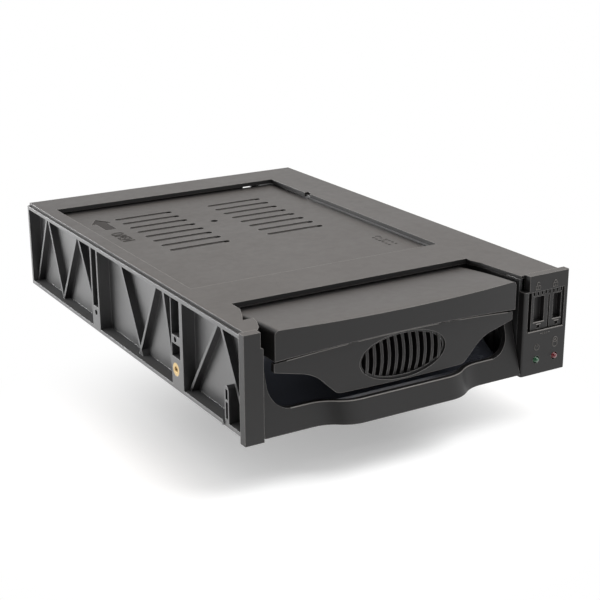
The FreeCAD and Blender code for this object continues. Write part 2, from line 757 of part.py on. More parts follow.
def make_top_plate():
    """Stepped plate that closes the shell, open over the cover and notched round the tray's head."""
    body = new_body("top_plate")
    sheet = new_sketch(body, "XY", "plate_outline", "pos.plate_bottom")
    half = "(pos.body_half - dim.plate_inset)"
    notch = [(f"-pos.web_inside + ({inward})", y) for inward, y in NOTCH_LEFT]
    notch += [(f"pos.slot_right - ({inward})", y) for inward, y in NOTCH_RIGHT]
    draw_outline(sheet, [(f"-{half}", "dim.bezel_depth")] + notch + [
        (half, "dim.bezel_depth"), (half, "pos.body_depth"), (f"-{half}", "pos.body_depth")])
    window_left = "-pos.web_inside + dim.cutout_margin"
    window_right = "(pos.slot_right - dim.cutout_margin)"
    jog = f"{window_right} + dim.cutout_jog"
    nick = f"{jog} + dim.cutout_nick_depth"
    nick_front = "pos.cutout_jog_y - dim.cutout_nick_width / 2"
    nick_rear = "pos.cutout_jog_y + dim.cutout_nick_width / 2"
    draw_outline(sheet, [
        (window_left, "dim.cutout_front"), (jog, "dim.cutout_front"), (jog, nick_front),
        (nick, nick_front), (nick, nick_rear), (window_right, nick_rear),
        (window_right, "pos.cutout_rear"), (window_left, "pos.cutout_rear")])
    add(body, sheet, "dim.plate_wall")

    below = "pos.plate_bottom - dim.overrun"
    depth = "pos.shell_top - pos.plate_bottom + dim.overrun"
    beyond = "pos.body_depth + dim.overrun"
    rebate = new_sketch(body, "XY", "plate_rebate", below)
    draw_box(rebate, f"-{half} - dim.overrun", "-pos.web_inside", "0", beyond)
    draw_box(rebate, "pos.slot_right", f"{half} + dim.overrun", "0", beyond)
    cut(body, rebate, depth)
    back = new_sketch(body, "XY", "plate_back_rebate", below)
    draw_box(back, "-pos.web_inside - dim.overrun", "pos.slot_right + dim.overrun",
             "pos.body_depth - dim.shell_wall", beyond)
    cut(body, back, depth)
    return body


def make_left_bezel():
    """Pillar of the bezel at the left of the slot, wider at the foot than beside the tray's head."""
    body = new_body("left_bezel")
    face = new_sketch(body, "XZ", "pillar_face", "0")
    narrow = "-pos.web_inside - dim.pillar_step_width"
    draw_outline(face, [
        ("-pos.bezel_half", "0"), ("-pos.web_inside", "0"), ("-pos.web_inside", "dim.pillar_step"),
        (narrow, "dim.pillar_step + dim.pillar_step_width / 2"), (narrow, "pos.bezel_height"),
        ("-pos.bezel_half", "pos.bezel_height")])
    add(body, face, "dim.bezel_depth")
    return body


def make_control_panel():
    """Right side of the bezel with the window of the lock and the holes of the two lamps."""
    body = new_body("control_panel")
    face = new_sketch(body, "XZ", "panel_face", "0")
    draw_outline(face, [
        ("pos.slot_right", "0"), ("pos.bezel_half", "0"), ("pos.bezel_half", "pos.bezel_height"),
        ("pos.slot_right + dim.panel_step_width", "pos.bezel_height"),
        ("pos.slot_right + dim.panel_step_width", "dim.panel_step"), ("pos.slot_right", "dim.panel_step")])
    draw_box(face, "pos.lock_window_left", "pos.lock_window_left + dim.lock_window_width",
             "dim.lock_window_bottom", "dim.lock_window_bottom + dim.lock_window_height")
    for x in ("pos.power_led_x", "pos.activity_led_x"):
        draw_circle(face, x, "dim.led_z", "dim.led_radius + dim.led_clearance")
    add(body, face, "dim.bezel_depth")
    sides = (number("pos.slot_right"), number("pos.bezel_half"))

    def front_corner(edge):
        box = edge.BoundBox
        upright = box.ZLength > 0.5 * number("pos.bezel_height")
        at_front = abs(box.YMax) < NEAR
        return upright and at_front and min(abs(box.XMin - side) for side in sides) < NEAR

    round_edges(body, "dim.panel_round", front_corner)
    return body


def make_brass_inserts():
    """Knurled threaded inserts for the bay screws, one in each front column."""
    bushes = []
    for side, name in ((-1, "left"), (1, "right")):
        bush = doc.addObject("Part::Cylinder", f"{name}_bush")
        bush.setExpression("Radius", "dim.insert_radius")
        bush.setExpression("Height", "dim.insert_length")
        bore = doc.addObject("Part::Cylinder", f"{name}_bush_bore")
        bore.setExpression("Radius", "dim.insert_bore_radius")
        bore.setExpression("Height", "dim.insert_length")
        insert = doc.addObject("Part::Cut", f"{name}_insert")
        insert.Base = bush
        insert.Tool = bore
        insert.Placement = FreeCAD.Placement(Vector(), FreeCAD.Rotation(Vector(0, 1, 0), -90 * side))
        insert.setExpression("Placement.Base.x", f"({side}) * pos.body_half")
        insert.setExpression("Placement.Base.y", "dim.bay_hole_y")
        insert.setExpression("Placement.Base.z", "dim.body_rise + dim.bay_hole_height")
        bushes.append(insert)
    return group("brass_inserts", bushes)


def group(label, pieces, on_tray=False):
    """Identical small pieces kept as separate solids of one node."""
    compound = doc.addObject("Part::Compound", label)
    compound.Label = label
    compound.Links = pieces
    compound.setExpression("Placement.Base.y", "pos.front_y")
    if on_tray:
        compound.setExpression("Placement.Base.x", "pos.slot_centre")
    return compound


# ---------------------------------------------------------------------------------------------
# Frame: boards, connectors, lamps
# ---------------------------------------------------------------------------------------------
def make_backplane_board():
    body = new_body("backplane_board", on_tray=True)
    face = new_sketch(body, "XZ", "backplane_face", "pos.backplane_y")
    draw_box(face, "-pos.backplane_half_width", "pos.backplane_half_width", "dim.backplane_bottom",
             "dim.backplane_bottom + dim.backplane_height")
    for side in (-1, 1):
        draw_circle(face, f"({side}) * (pos.backplane_half_width - dim.board_screw_margin)",
                    "dim.backplane_bottom + dim.backplane_height / 2", "dim.screw_radius")
    add(body, face, "dim.board_wall")
    return body


def screw(name, x, y, z):
    """A pan-head screw that points back along +Y, with its head in front of y."""
    shank = doc.addObject("Part::Cylinder", f"{name}_shank")
    shank.setExpression("Radius", "dim.screw_radius")
    shank.setExpression("Height", "dim.board_wall")
    head = doc.addObject("Part::Cylinder", f"{name}_head")
    head.setExpression("Radius", "dim.screw_head_radius")
    head.setExpression("Height", "dim.screw_head_height")
    head.setExpression("Placement.Base.z", "-dim.screw_head_height")
    piece = doc.addObject("Part::Fuse", name)
    piece.Base = shank
    piece.Tool = head
    piece.Placement = FreeCAD.Placement(Vector(), FreeCAD.Rotation(Vector(1, 0, 0), -90))
    piece.setExpression("Placement.Base.x", x)
    piece.setExpression("Placement.Base.y", y)
    piece.setExpression("Placement.Base.z", z)
    return piece


def make_backplane_screws():
    pieces = []
    for side, name in ((-1, "left"), (1, "right")):
        pieces.append(screw(f"{name}_backplane_screw",
                            f"({side}) * (pos.backplane_half_width - dim.board_screw_margin)",
                            "pos.backplane_y", "dim.backplane_bottom + dim.backplane_height / 2"))
    return group("backplane_screws", pieces, on_tray=True)


def make_docking_socket():
    """Female half of the docking connector, on the front of the backplane."""
    body = new_body("docking_socket", on_tray=True)
    block = new_sketch(body, "XZ", "socket_block", "pos.backplane_y")
    draw_box(block, "-dim.dock_half_width - dim.socket_side", "dim.dock_half_width + dim.socket_side",
             "dim.dock_z - dim.dock_height / 2 - dim.socket_top",
             "dim.dock_z + dim.dock_height / 2 + dim.socket_top")
    add(body, block, "pos.backplane_y - pos.tub_rear - dim.dock_gap", -1)
    mouth = new_sketch(body, "XZ", "socket_mouth", "pos.tub_rear + dim.dock_gap - dim.overrun")
    gap = "dim.dock_clearance"
    draw_box(mouth, f"-dim.dock_half_width - {gap}", f"dim.dock_half_width + {gap}",
             f"dim.dock_z - dim.tongue_wall / 2 - {gap}", f"dim.dock_z + dim.tongue_wall / 2 + {gap}")
    cut(body, mouth, f"dim.tongue_reach + dim.overrun + {gap}")
    return body


def draw_inlet(sketch, inset):
    """Outline of the power inlet with its two upper corners cut off, drawn inset by a wall."""
    half = f"(dim.inlet_width / 2 - {inset})"
    low = f"dim.inlet_z - dim.inlet_height / 2 + {inset}"
    high = f"(dim.inlet_z + dim.inlet_height / 2 - {inset})"
    chamfer = f"(dim.inlet_chamfer - {inset} * 0.6)"
    draw_outline(sketch, [
        (f"pos.inlet_x - {half}", low), (f"pos.inlet_x + {half}", low),
        (f"pos.inlet_x + {half}", f"{high} - {chamfer}"), (f"pos.inlet_x + {half} - {chamfer}", high),
        (f"pos.inlet_x - {half} + {chamfer}", high), (f"pos.inlet_x - {half}", f"{high} - {chamfer}")])


def make_power_inlet():
    """Four-way power inlet on the back of the backplane, open to the rear."""
    body = new_body("power_inlet")
    block = new_sketch(body, "XZ", "inlet_block", "pos.backplane_y + dim.board_wall")
    draw_inlet(block, "0")
    add(body, block, "pos.body_depth - pos.backplane_y - dim.board_wall")
    mouth = new_sketch(body, "XZ", "inlet_mouth", "pos.backplane_y + dim.board_wall + dim.connector_base")
    draw_inlet(mouth, "dim.inlet_wall")
    cut(body, mouth, "pos.body_depth - pos.backplane_y")
    return body


def make_inlet_pins():
    room = "pos.body_depth - pos.backplane_y - dim.board_wall"
    pins = []
    for index in range(4):
        pin = doc.addObject("Part::Cylinder", f"inlet_pin_{index + 1}")
        pin.setExpression("Radius", "dim.inlet_pin_radius")
        pin.setExpression("Height", f"{room} - 2 * dim.connector_base")
        pin.Placement = FreeCAD.Placement(Vector(), FreeCAD.Rotation(Vector(1, 0, 0), -90))
        pin.setExpression("Placement.Base.x", f"pos.inlet_x + ({index} - 1.5) * dim.inlet_pin_pitch")
        pin.setExpression("Placement.Base.y", "pos.backplane_y + dim.board_wall + dim.connector_base")
        pin.setExpression("Placement.Base.z", "dim.inlet_z")
        pins.append(pin)
    return group("inlet_pins", pins)


def make_data_socket():
    """Seven-way data receptacle with its L-shaped tongue."""
    body = new_body("data_socket")
    half_width = "(dim.data_width / 2)"
    half_height = "(dim.data_height / 2)"
    block = new_sketch(body, "XZ", "data_block", "pos.backplane_y + dim.board_wall")
    draw_box(block, f"pos.data_x - {half_width}", f"pos.data_x + {half_width}",
             f"dim.data_z - {half_height}", f"dim.data_z + {half_height}")
    add(body, block, "pos.body_depth - pos.backplane_y - dim.board_wall")
    mouth = new_sketch(body, "XZ", "data_mouth", "pos.backplane_y + dim.board_wall + dim.connector_base")
    draw_box(mouth, f"pos.data_x - {half_width} + dim.data_wall", f"pos.data_x + {half_width} - dim.data_wall",
             f"dim.data_z - {half_height} + dim.data_wall", f"dim.data_z + {half_height} - dim.data_wall")
    left = "pos.data_x - dim.data_tongue_width / 2"
    right = "(pos.data_x + dim.data_tongue_width / 2)"
    low = "dim.data_z - dim.data_tongue_wall / 2"
    high = "dim.data_z + dim.data_tongue_wall / 2"
    key = f"{right} - dim.data_tongue_wall"
    draw_outline(mouth, [(left, low), (right, low), (right, f"{high} + dim.data_key_height"),
                         (key, f"{high} + dim.data_key_height"), (key, high), (left, high)])
    cut(body, mouth, "pos.body_depth - pos.backplane_y")
    return body


def make_lock_board():
    """Small board behind the panel that carries the two lamps and the lock switch."""
    body = new_body("lock_board")
    face = new_sketch(body, "XZ", "lock_board_face", "dim.lock_board_y")
    draw_box(face, "pos.power_led_x - dim.lock_board_margin", "pos.body_half - dim.lock_wall - dim.lap",
             "pos.floor_top", "dim.lock_board_top")
    add(body, face, "dim.board_wall")
    return body


def make_lock_switch():
    """Slide switch that tells the rack whether the tray is locked."""
    body = new_body("lock_switch")
    top = "dim.switch_bottom + dim.switch_height"
    lever_left = "pos.switch_left + dim.lever_inset"
    face = new_sketch(body, "XZ", "switch_face", "dim.lock_board_y")
    draw_box(face, "pos.switch_left", "pos.switch_left + dim.switch_width", "dim.switch_bottom", top)
    add(body, face, "dim.switch_depth", -1)
    lever = new_sketch(body, "XZ", "switch_lever", "dim.lock_board_y - dim.switch_depth")
    draw_box(lever, lever_left, f"{lever_left} + dim.lever_width", "dim.switch_bottom + dim.lever_margin",
             f"{top} - dim.lever_margin")
    add(body, lever, "dim.lever_length", -1)
    return body


def make_led(label, x):
    """A 3 mm lamp with a domed face, a collar behind the panel and its leads to the board."""
    body = new_body(label)
    body.setExpression("Placement.Base.x", x)
    body.setExpression("Placement.Base.z", "dim.led_z")
    profile = new_sketch(body, "YZ", f"{label}_profile")
    radius = "dim.led_radius"
    collar_radius = "dim.led_radius + dim.led_collar"
    collar_front = "dim.bezel_depth"
    collar_rear = "dim.bezel_depth + dim.led_collar_length"
    tail = "(dim.bezel_depth + dim.led_collar_length + dim.led_tail)"
    slant = f"{radius} * {DIAGONAL}"
    draw_outline(profile, [
        (f"dim.led_dome_y - {radius}", "0", f"dim.led_dome_y - {slant}", slant),
        ("dim.led_dome_y", radius), (collar_front, radius), (collar_front, collar_radius),
        (collar_rear, collar_radius), (collar_rear, radius), (tail, radius), (tail, "0")])
    turned = body.newObject("PartDesign::Revolution", f"{label}_turned")
    turned.Profile = profile
    turned.ReferenceAxis = (next(f for f in body.Origin.OriginFeatures if f.Role == "Y_Axis"), [""])
    turned.Angle = 360
    body.Tip = turned
    leads = new_sketch(body, "XZ", f"{label}_leads", f"{tail} - dim.lap")
    near = "dim.lead_gap / 2"
    far = "(dim.lead_gap / 2 + dim.lead_size)"
    draw_box(leads, f"-{far}", f"-{near}", "-dim.lead_size / 2", "dim.lead_size / 2")
    draw_box(leads, near, far, "-dim.lead_size / 2", "dim.lead_size / 2")
    add(body, leads, f"dim.lock_board_y - {tail} + dim.lap")
    return body


# ---------------------------------------------------------------------------------------------
# Slide lock
# ---------------------------------------------------------------------------------------------
def make_lock_slider():
    """Ribbed knob in the panel's window on a plate that is trapped behind the panel."""
    body = new_body("lock_slider")
    knob_left = "(pos.lock_window_left + dim.lock_travel + dim.knob_gap)"
    knob_right = "(pos.lock_window_left + dim.lock_window_width - dim.knob_gap)"
    knob_bottom = "(dim.lock_window_bottom + dim.knob_gap)"
    knob_top = "(dim.lock_window_bottom + dim.lock_window_height - dim.knob_gap)"
    plate_front = "(dim.bezel_depth + dim.seat_clearance)"
    knob = new_sketch(body, "XZ", "knob_face", "dim.knob_front")
    draw_box(knob, knob_left, knob_right, knob_bottom, knob_top)
    add(body, knob, f"{plate_front} - dim.knob_front + dim.lap")
    plate = new_sketch(body, "XZ", "slider_plate", plate_front)
    draw_box(plate, f"{knob_left} - dim.knob_gap", f"{knob_right} - 2 * dim.knob_gap",
             f"{knob_bottom} - dim.slider_lap", f"{knob_top} + dim.slider_lap")
    add(body, plate, "dim.slider_wall")

    before = "dim.knob_front - dim.overrun"
    shallow = "dim.groove_depth + dim.overrun"
    wells = new_sketch(body, "XZ", "finger_wells", before)
    feet = new_sketch(body, "XZ", "well_feet", before)
    left_well = f"({knob_left} + dim.left_well_inset)"
    right_well = f"({knob_right} - dim.right_well_inset - dim.right_well_width)"
    foot_bottom = f"{knob_bottom} + dim.well_foot_margin"
    for left, width in ((left_well, "dim.left_well_width"), (right_well, "dim.right_well_width")):
        draw_box(wells, left, f"{left} + {width}", f"{knob_bottom} + dim.well_bottom_margin",
                 f"{knob_top} - dim.well_top_margin")
        foot_left = f"{left} + ({width} - dim.well_foot_width) / 2"
        draw_box(feet, foot_left, f"{foot_left} + dim.well_foot_width", foot_bottom,
                 f"{foot_bottom} + dim.well_foot_height")
    cut(body, wells, "dim.well_depth + dim.overrun")
    cut(body, feet, shallow)

    groove = new_sketch(body, "XZ", "grip_groove", before)
    first = f"{knob_left} + dim.groove_inset"
    draw_box(groove, first, f"{first} + dim.groove_width", f"{knob_top} - dim.groove_length",
             f"{knob_top} + dim.overrun")
    row(body, [cut(body, groove, shallow)], "X", 8, "dim.groove_pitch")
    middle = new_sketch(body, "XZ", "middle_groove", before)
    centre = f"{knob_left} + dim.middle_groove_x"
    draw_box(middle, f"{centre} - dim.groove_width / 2", f"{centre} + dim.groove_width / 2",
             f"{knob_bottom} - dim.overrun", f"{knob_top} - dim.well_top_margin")
    cut(body, middle, shallow)
    return body


def make_lock_bolt():
    """Arm behind the slider whose hooked end passes the partition into the tray's wall."""
    body = new_body("lock_bolt")
    plate_back = "(dim.bezel_depth + dim.seat_clearance + dim.slider_wall)"
    foot_back = f"{plate_back} + dim.bolt_foot_wall"
    arm_left = "(pos.slot_right + dim.partition_wall + dim.lock_travel + dim.seat_clearance)"
    foot_right = f"{arm_left} + dim.bolt_foot_length"
    bolt_end = "(dim.bolt_y + dim.bolt_width)"
    tip = "pos.slot_right + dim.bolt_rest_gap"
    outline = new_sketch(body, "XY", "bolt_outline", "dim.bolt_bottom")
    draw_outline(outline, [
        (arm_left, plate_back), (foot_right, plate_back), (foot_right, foot_back),
        (f"{arm_left} + dim.bolt_wall", foot_back), (f"{arm_left} + dim.bolt_wall", bolt_end),
        (tip, bolt_end), (tip, "dim.bolt_y"), (arm_left, "dim.bolt_y")])
    add(body, outline, "dim.bolt_height")
    return body


# ---------------------------------------------------------------------------------------------
# Tray
# ---------------------------------------------------------------------------------------------
def make_tray_tub():
    """Floor, side walls and rear wall of the tray, with the tabs that hold the cover."""
    body = new_body("tray_tub", on_tray=True)
    floor_top = "(pos.tray_bottom + dim.tub_floor)"
    wall_top = "pos.tub_top"
    wall_inner = "(pos.tray_half - dim.tub_wall)"
    section = new_sketch(body, "XZ", "tub_section", "dim.tub_front")
    guide_inner = "pos.guide_half"
    guide_outer = "(pos.guide_half + dim.guide_wall)"
    draw_outline(section, [
        ("-pos.tray_half", "pos.tray_bottom"), ("pos.tray_half", "pos.tray_bottom"),
        ("pos.tray_half", wall_top), (wall_inner, wall_top), (wall_inner, floor_top),
        (f"-{wall_inner}", floor_top), (f"-{wall_inner}", wall_top), ("-pos.tray_half", wall_top)])
    add(body, section, "pos.tub_rear - dim.tub_front")

    guides = new_sketch(body, "XY", "drive_guides", f"{floor_top} - dim.lap")
    draw_box(guides, guide_inner, guide_outer, "dim.drive_front", "dim.drive_front + dim.drive_length")
    draw_box(guides, f"-{guide_outer}", f"-{guide_inner}", "dim.drive_front",
             "dim.drive_front + dim.drive_length")
    add(body, guides, "dim.guide_height + dim.lap")

    apron = new_sketch(body, "XY", "floor_apron", "pos.tray_bottom")
    apron_half = "pos.head_half"
    draw_box(apron, f"-{apron_half}", apron_half, "dim.scoop_front", "dim.tub_front + dim.overrun")
    add(body, apron, "dim.tub_floor")

    rear = new_sketch(body, "XZ", "tub_rear_wall", "pos.tub_rear - dim.tub_wall")
    draw_box(rear, "-pos.tray_half", "pos.tray_half", "pos.tray_bottom", wall_top)
    add(body, rear, "dim.tub_wall")
    port = new_sketch(body, "XZ", "dock_port", "pos.tub_rear - dim.tub_wall - dim.overrun")
    draw_box(port, "-dim.dock_half_width - dim.dock_port_side", "dim.dock_half_width + dim.dock_port_side",
             "dim.dock_z - dim.dock_height / 2 - dim.dock_port_top",
             "dim.dock_z + dim.dock_height / 2 + dim.dock_port_top")
    for side in (-1, 1):
        middle = f"({side}) * (dim.dock_half_width + dim.tub_vent_offset)"
        draw_box(port, f"{middle} - dim.tub_vent_width / 2", f"{middle} + dim.tub_vent_width / 2",
                 "dim.tub_vent_bottom", "dim.tub_vent_top")
    cut(body, port, "dim.tub_wall + 2 * dim.overrun")

    posts = new_sketch(body, "XY", "board_posts", f"{floor_top} - dim.lap")
    for side in (-1, 1):
        middle = f"({side}) * (pos.adapter_half_width - dim.post_margin)"
        draw_box(posts, f"{middle} - dim.post_width / 2", f"{middle} + dim.post_width / 2",
                 "pos.adapter_y + dim.board_wall", "pos.tub_rear - dim.tub_wall / 2")
    add(body, posts, "dim.post_height")

    holes = new_sketch(body, "XY", "drive_holes", "pos.tray_bottom - dim.overrun")
    rear_hole = "dim.drive_front + dim.drive_length - dim.drive_hole_from_rear"
    for side in (-1, 1):
        x = f"({side}) * dim.drive_hole_spacing / 2"
        draw_circle(holes, x, rear_hole, "dim.drive_hole_radius")
        draw_circle(holes, x, f"{rear_hole} - dim.drive_hole_pitch", "dim.drive_hole_radius")
    cut(body, holes, "dim.tub_floor + 2 * dim.overrun")

    tab = new_sketch(body, "XY", "cover_tab", f"{wall_top} - dim.tab_drop - dim.tab_wall")
    tab_rear = "dim.tab_front + dim.tab_length"
    draw_box(tab, f"{wall_inner} - dim.tab_width", f"{wall_inner} + dim.lap", "dim.tab_front", tab_rear)
    draw_box(tab, f"-{wall_inner} - dim.lap", f"-{wall_inner} + dim.tab_width", "dim.tab_front", tab_rear)
    row(body, [add(body, tab, "dim.tab_wall")], "Y", 3, "dim.tab_pitch")

    keep = new_sketch(body, "YZ", "bolt_keep", f"{wall_inner} - dim.overrun")
    draw_box(keep, "dim.bolt_y - dim.seat_clearance", "dim.bolt_y + dim.bolt_width + dim.seat_clearance",
             "dim.bolt_bottom - dim.seat_clearance",
             "dim.bolt_bottom + dim.bolt_height + dim.seat_clearance")
    cut(body, keep, "dim.tub_wall + 2 * dim.overrun")
    return body


def make_tray_cover():
    """Sliding cover with two banks of slots, a thumb dimple and three hooks at each side."""
    body = new_body("tray_cover", on_tray=True)
    under = "pos.cover_bottom"
    half = "(pos.tray_half - dim.cover_inset)"
    sheet = new_sketch(body, "XY", "cover_outline", under)
    draw_box(sheet, f"-{half}", half, "pos.cover_front", "pos.tub_rear - dim.lap")
    add(body, sheet, "dim.cover_wall")

    slot = new_sketch(body, "XY", "cover_slot", f"{under} - dim.overrun")
    for side in (-1, 1):
        middle = f"({side}) * dim.vent_centre"
        draw_slot(slot, f"{middle} - dim.vent_length / 2", f"{middle} + dim.vent_length / 2",
                  "pos.vent_front", "dim.vent_width")
    row(body, [cut(body, slot, "dim.cover_wall + 2 * dim.overrun")], "Y", 8, "dim.vent_pitch")

    dimple = new_sketch(body, "XY", "cover_dimple", f"{under} + dim.cover_wall - dim.dimple_depth")
    draw_circle(dimple, "0", "pos.dimple_y", "dim.dimple_radius")
    cut(body, dimple, "dim.dimple_depth + dim.overrun")

    arrow = new_sketch(body, "XY", "cover_arrow", f"{under} + dim.cover_wall - dim.arrow_depth")
    tip = "(pos.tub_rear - dim.arrow_margin)"
    neck = f"{tip} - dim.arrow_head"
    tail = f"{tip} - dim.arrow_length"
    axis = "-pos.tray_half + dim.arrow_inset"
    draw_outline(arrow, [
        (axis, tip), (f"{axis} - dim.arrow_half", neck), (f"{axis} - dim.arrow_shaft_half", neck),
        (f"{axis} - dim.arrow_shaft_half", tail), (f"{axis} + dim.arrow_shaft_half", tail),
        (f"{axis} + dim.arrow_shaft_half", neck), (f"{axis} + dim.arrow_half", neck)])
    cut(body, arrow, "dim.arrow_depth + dim.overrun")

    leg_outer = "(pos.tray_half - dim.tub_wall - dim.tab_width - dim.seat_clearance)"
    foot_top = "(pos.tub_top - dim.tab_drop - dim.tab_wall - dim.seat_clearance)"
    leg_inner = f"({leg_outer} - dim.hook_wall)"
    toe = f"({leg_outer} + dim.tab_width - dim.lap)"
    root = f"{under} + dim.lap"
    sole = f"{foot_top} - dim.hook_wall"
    hook = new_sketch(body, "XZ", "cover_hook", "dim.tab_front")
    for side in ("", "-"):
        draw_outline(hook, [
            (f"{side}{leg_inner}", root), (f"{side}{leg_outer}", root), (f"{side}{leg_outer}", foot_top),
            (f"{side}{toe}", foot_top), (f"{side}{toe}", sole), (f"{side}{leg_inner}", sole)])
    row(body, [add(body, hook, "dim.tab_length")], "Y", 3, "dim.tab_pitch")
    return body


def make_tray_head():
    """Hollow bar across the top of the tray's front, bulged in plan, arched below, sloping to the rear."""
    body = new_body("tray_head", on_tray=True)
    half = "pos.head_half"
    beyond = f"({half} + dim.overrun)"
    below = "pos.head_bottom - dim.overrun"
    plan = new_sketch(body, "XY", "head_plan", below)
    draw_outline(plan, [
        (f"-{half}", "0", "0", "-dim.head_bulge"), (half, "0"), (half, "dim.head_depth"),
        (f"-{half}", "dim.head_depth")])
    add(body, plan, "pos.head_top - pos.head_bottom + dim.overrun")

    arch = new_sketch(body, "XZ", "head_arch", "-dim.head_bulge - dim.overrun")
    draw_outline(arch, [
        (f"-{beyond}", f"{below} - dim.overrun"), (beyond, f"{below} - dim.overrun"),
        (beyond, "pos.head_bottom", "0", "pos.head_bottom + dim.head_arch"), (f"-{beyond}", "pos.head_bottom")])
    cut(body, arch, "dim.head_bulge + dim.head_arch_depth + 2 * dim.overrun")
    level = new_sketch(body, "XY", "head_level", f"{below} - dim.overrun")
    draw_box(level, f"-{beyond}", beyond, "dim.head_arch_depth", "dim.head_depth + dim.overrun")
    cut(body, level, "2 * dim.overrun")

    slope = new_sketch(body, "YZ", "head_slope", f"-{beyond}")
    above = "pos.head_top + dim.overrun"
    draw_outline(slope, [
        ("dim.head_crest_y", "pos.head_top",
         "dim.head_slope_y", "(pos.head_top + pos.head_rear_top) / 2 + dim.head_slope_crown"),
        ("dim.head_depth + dim.overrun", "pos.head_rear_top"), ("dim.head_depth + dim.overrun", above),
        ("dim.head_crest_y", above)])
    cut(body, slope, f"2 * {beyond}")

    hollow = new_sketch(body, "XY", "head_hollow", below)
    inner = f"({half} - dim.head_wall)"
    draw_outline(hollow, [
        (f"-{inner}", "dim.head_wall", "0", "dim.head_wall - dim.head_bulge"), (inner, "dim.head_wall"),
        (inner, "dim.head_depth - dim.head_wall"), (f"-{inner}", "dim.head_depth - dim.head_wall")])
    cut(body, hollow, "pos.head_ceiling - pos.head_bottom + dim.overrun")

    bore = new_sketch(body, "YZ", "pivot_bore", f"-{beyond}")
    draw_circle(bore, "dim.pivot_y", "pos.pivot_z", "dim.pin_radius")
    cut(body, bore, f"2 * {beyond}")

    def end_edge(edge):
        box = edge.BoundBox
        at_end = abs(abs(box.XMin) - number(half)) < NEAR and box.XLength < NEAR
        return at_end and box.YLength > 0.5 * number("dim.head_depth") and box.ZMin > number("pos.head_ceiling")

    round_edges(body, "dim.head_round", end_edge)
    return body


# Right lower edge of the fascia, as (X, drop below its end) with the middle of the arc between them.
FASCIA_SHOULDER = (43.0, 2.3)
FASCIA_SHOULDER_MIDDLE = (37.3, 4.7)
FASCIA_ELBOW = (33.6, 8.0)


def make_vent_fascia():
    """Bulged panel below the head with an oval mouth, and the two duct walls behind it."""
    body = new_body("vent_fascia", on_tray=True)
    half = "pos.fascia_half"
    front = "dim.fascia_front"
    bottom = "dim.fascia_bottom"
    crest = "(pos.fascia_top + dim.fascia_arch)"
    plan = new_sketch(body, "XY", "fascia_plan", bottom)
    back = f"({front} + dim.fascia_wall)"
    draw_outline(plan, [
        (f"-{half}", front, "0", f"{front} - dim.fascia_bulge"), (half, front),
        (half, back, "0", f"{back} - dim.fascia_bulge"), (f"-{half}", back)])
    add(body, plan, f"{crest} - {bottom}")

    before = f"{front} - dim.fascia_bulge - dim.overrun"
    through = "dim.fascia_bulge + dim.fascia_wall + 2 * dim.overrun"
    trim = new_sketch(body, "XZ", "fascia_trim", before)
    draw_box(trim, f"-{half} - dim.overrun", f"{half} + dim.overrun", f"{bottom} - dim.overrun",
             f"{crest} + dim.overrun")
    end_bottom = "pos.fascia_top - dim.fascia_end_height"
    elbow_z = f"{end_bottom} - {FASCIA_ELBOW[1]}"
    shoulder_z = f"{end_bottom} - {FASCIA_SHOULDER[1]}"
    middle_z = f"{end_bottom} - {FASCIA_SHOULDER_MIDDLE[1]}"
    foot = "dim.fascia_foot_half"
    bend = "dim.fascia_foot_round"
    foot_z = f"{bottom} + {bend} * (1 - {DIAGONAL})"
    draw_outline(trim, [
        (f"-{half}", "pos.fascia_top", "0", crest), (half, "pos.fascia_top"), (half, end_bottom),
        (FASCIA_SHOULDER[0], shoulder_z, FASCIA_SHOULDER_MIDDLE[0], middle_z), (FASCIA_ELBOW[0], elbow_z),
        (f"{foot} + {bend}", f"{bottom} + {bend} / 2", foot, f"{foot_z} - {bend} * 0.2"),
        (f"{foot} - {bend}", bottom), (f"-{foot} + {bend}", bottom, f"-{foot}", f"{foot_z} - {bend} * 0.2"),
        (f"-{foot} - {bend}", f"{bottom} + {bend} / 2"),
        (-FASCIA_ELBOW[0], elbow_z, -FASCIA_SHOULDER_MIDDLE[0], middle_z),
        (-FASCIA_SHOULDER[0], shoulder_z), (f"-{half}", end_bottom)])
    cut(body, trim, through)

    walls = new_sketch(body, "YZ", "duct_walls", "-dim.duct_half")
    draw_outline(walls, [
        ("0", "dim.duct_bottom"), ("dim.duct_rear - dim.duct_bevel", "dim.duct_bottom"),
        ("dim.duct_rear", "dim.duct_bottom + dim.duct_bevel"), ("dim.duct_rear", "pos.head_ceiling"),
        ("dim.duct_shoulder_y", "pos.head_ceiling"), ("0", "dim.duct_front_top")])
    pad = add(body, walls, "dim.duct_wall")
    mirror(body, [pad])

    mouth = new_sketch(body, "XZ", "oval_mouth", before)
    draw_oval(mouth, "dim.oval_half_width", "dim.oval_half_height")
    cut(body, mouth, through)
    return body


def draw_oval(sketch, half_width, half_height):
    """An ellipse round the centre of the grille."""
    centre = Vector(0, number("dim.oval_z"), 0)
    major = centre + Vector(number(half_width), 0, 0)
    minor = centre + Vector(0, number(half_height), 0)
    oval = sketch.addGeometry(Part.Ellipse(major, minor, centre), False)
    pin_point(sketch, oval, 3, "0", "dim.oval_z")
    sketch.exposeInternalGeometry(oval)
    pin_point(sketch, oval + 1, 1, half_width, "dim.oval_z")
    top = sketch.addConstraint(Sketcher.Constraint("DistanceY", -1, 1, oval + 2, 1, minor.y))
    sketch.setExpression(f"Constraints[{top}]", f"dim.oval_z + {half_height}")


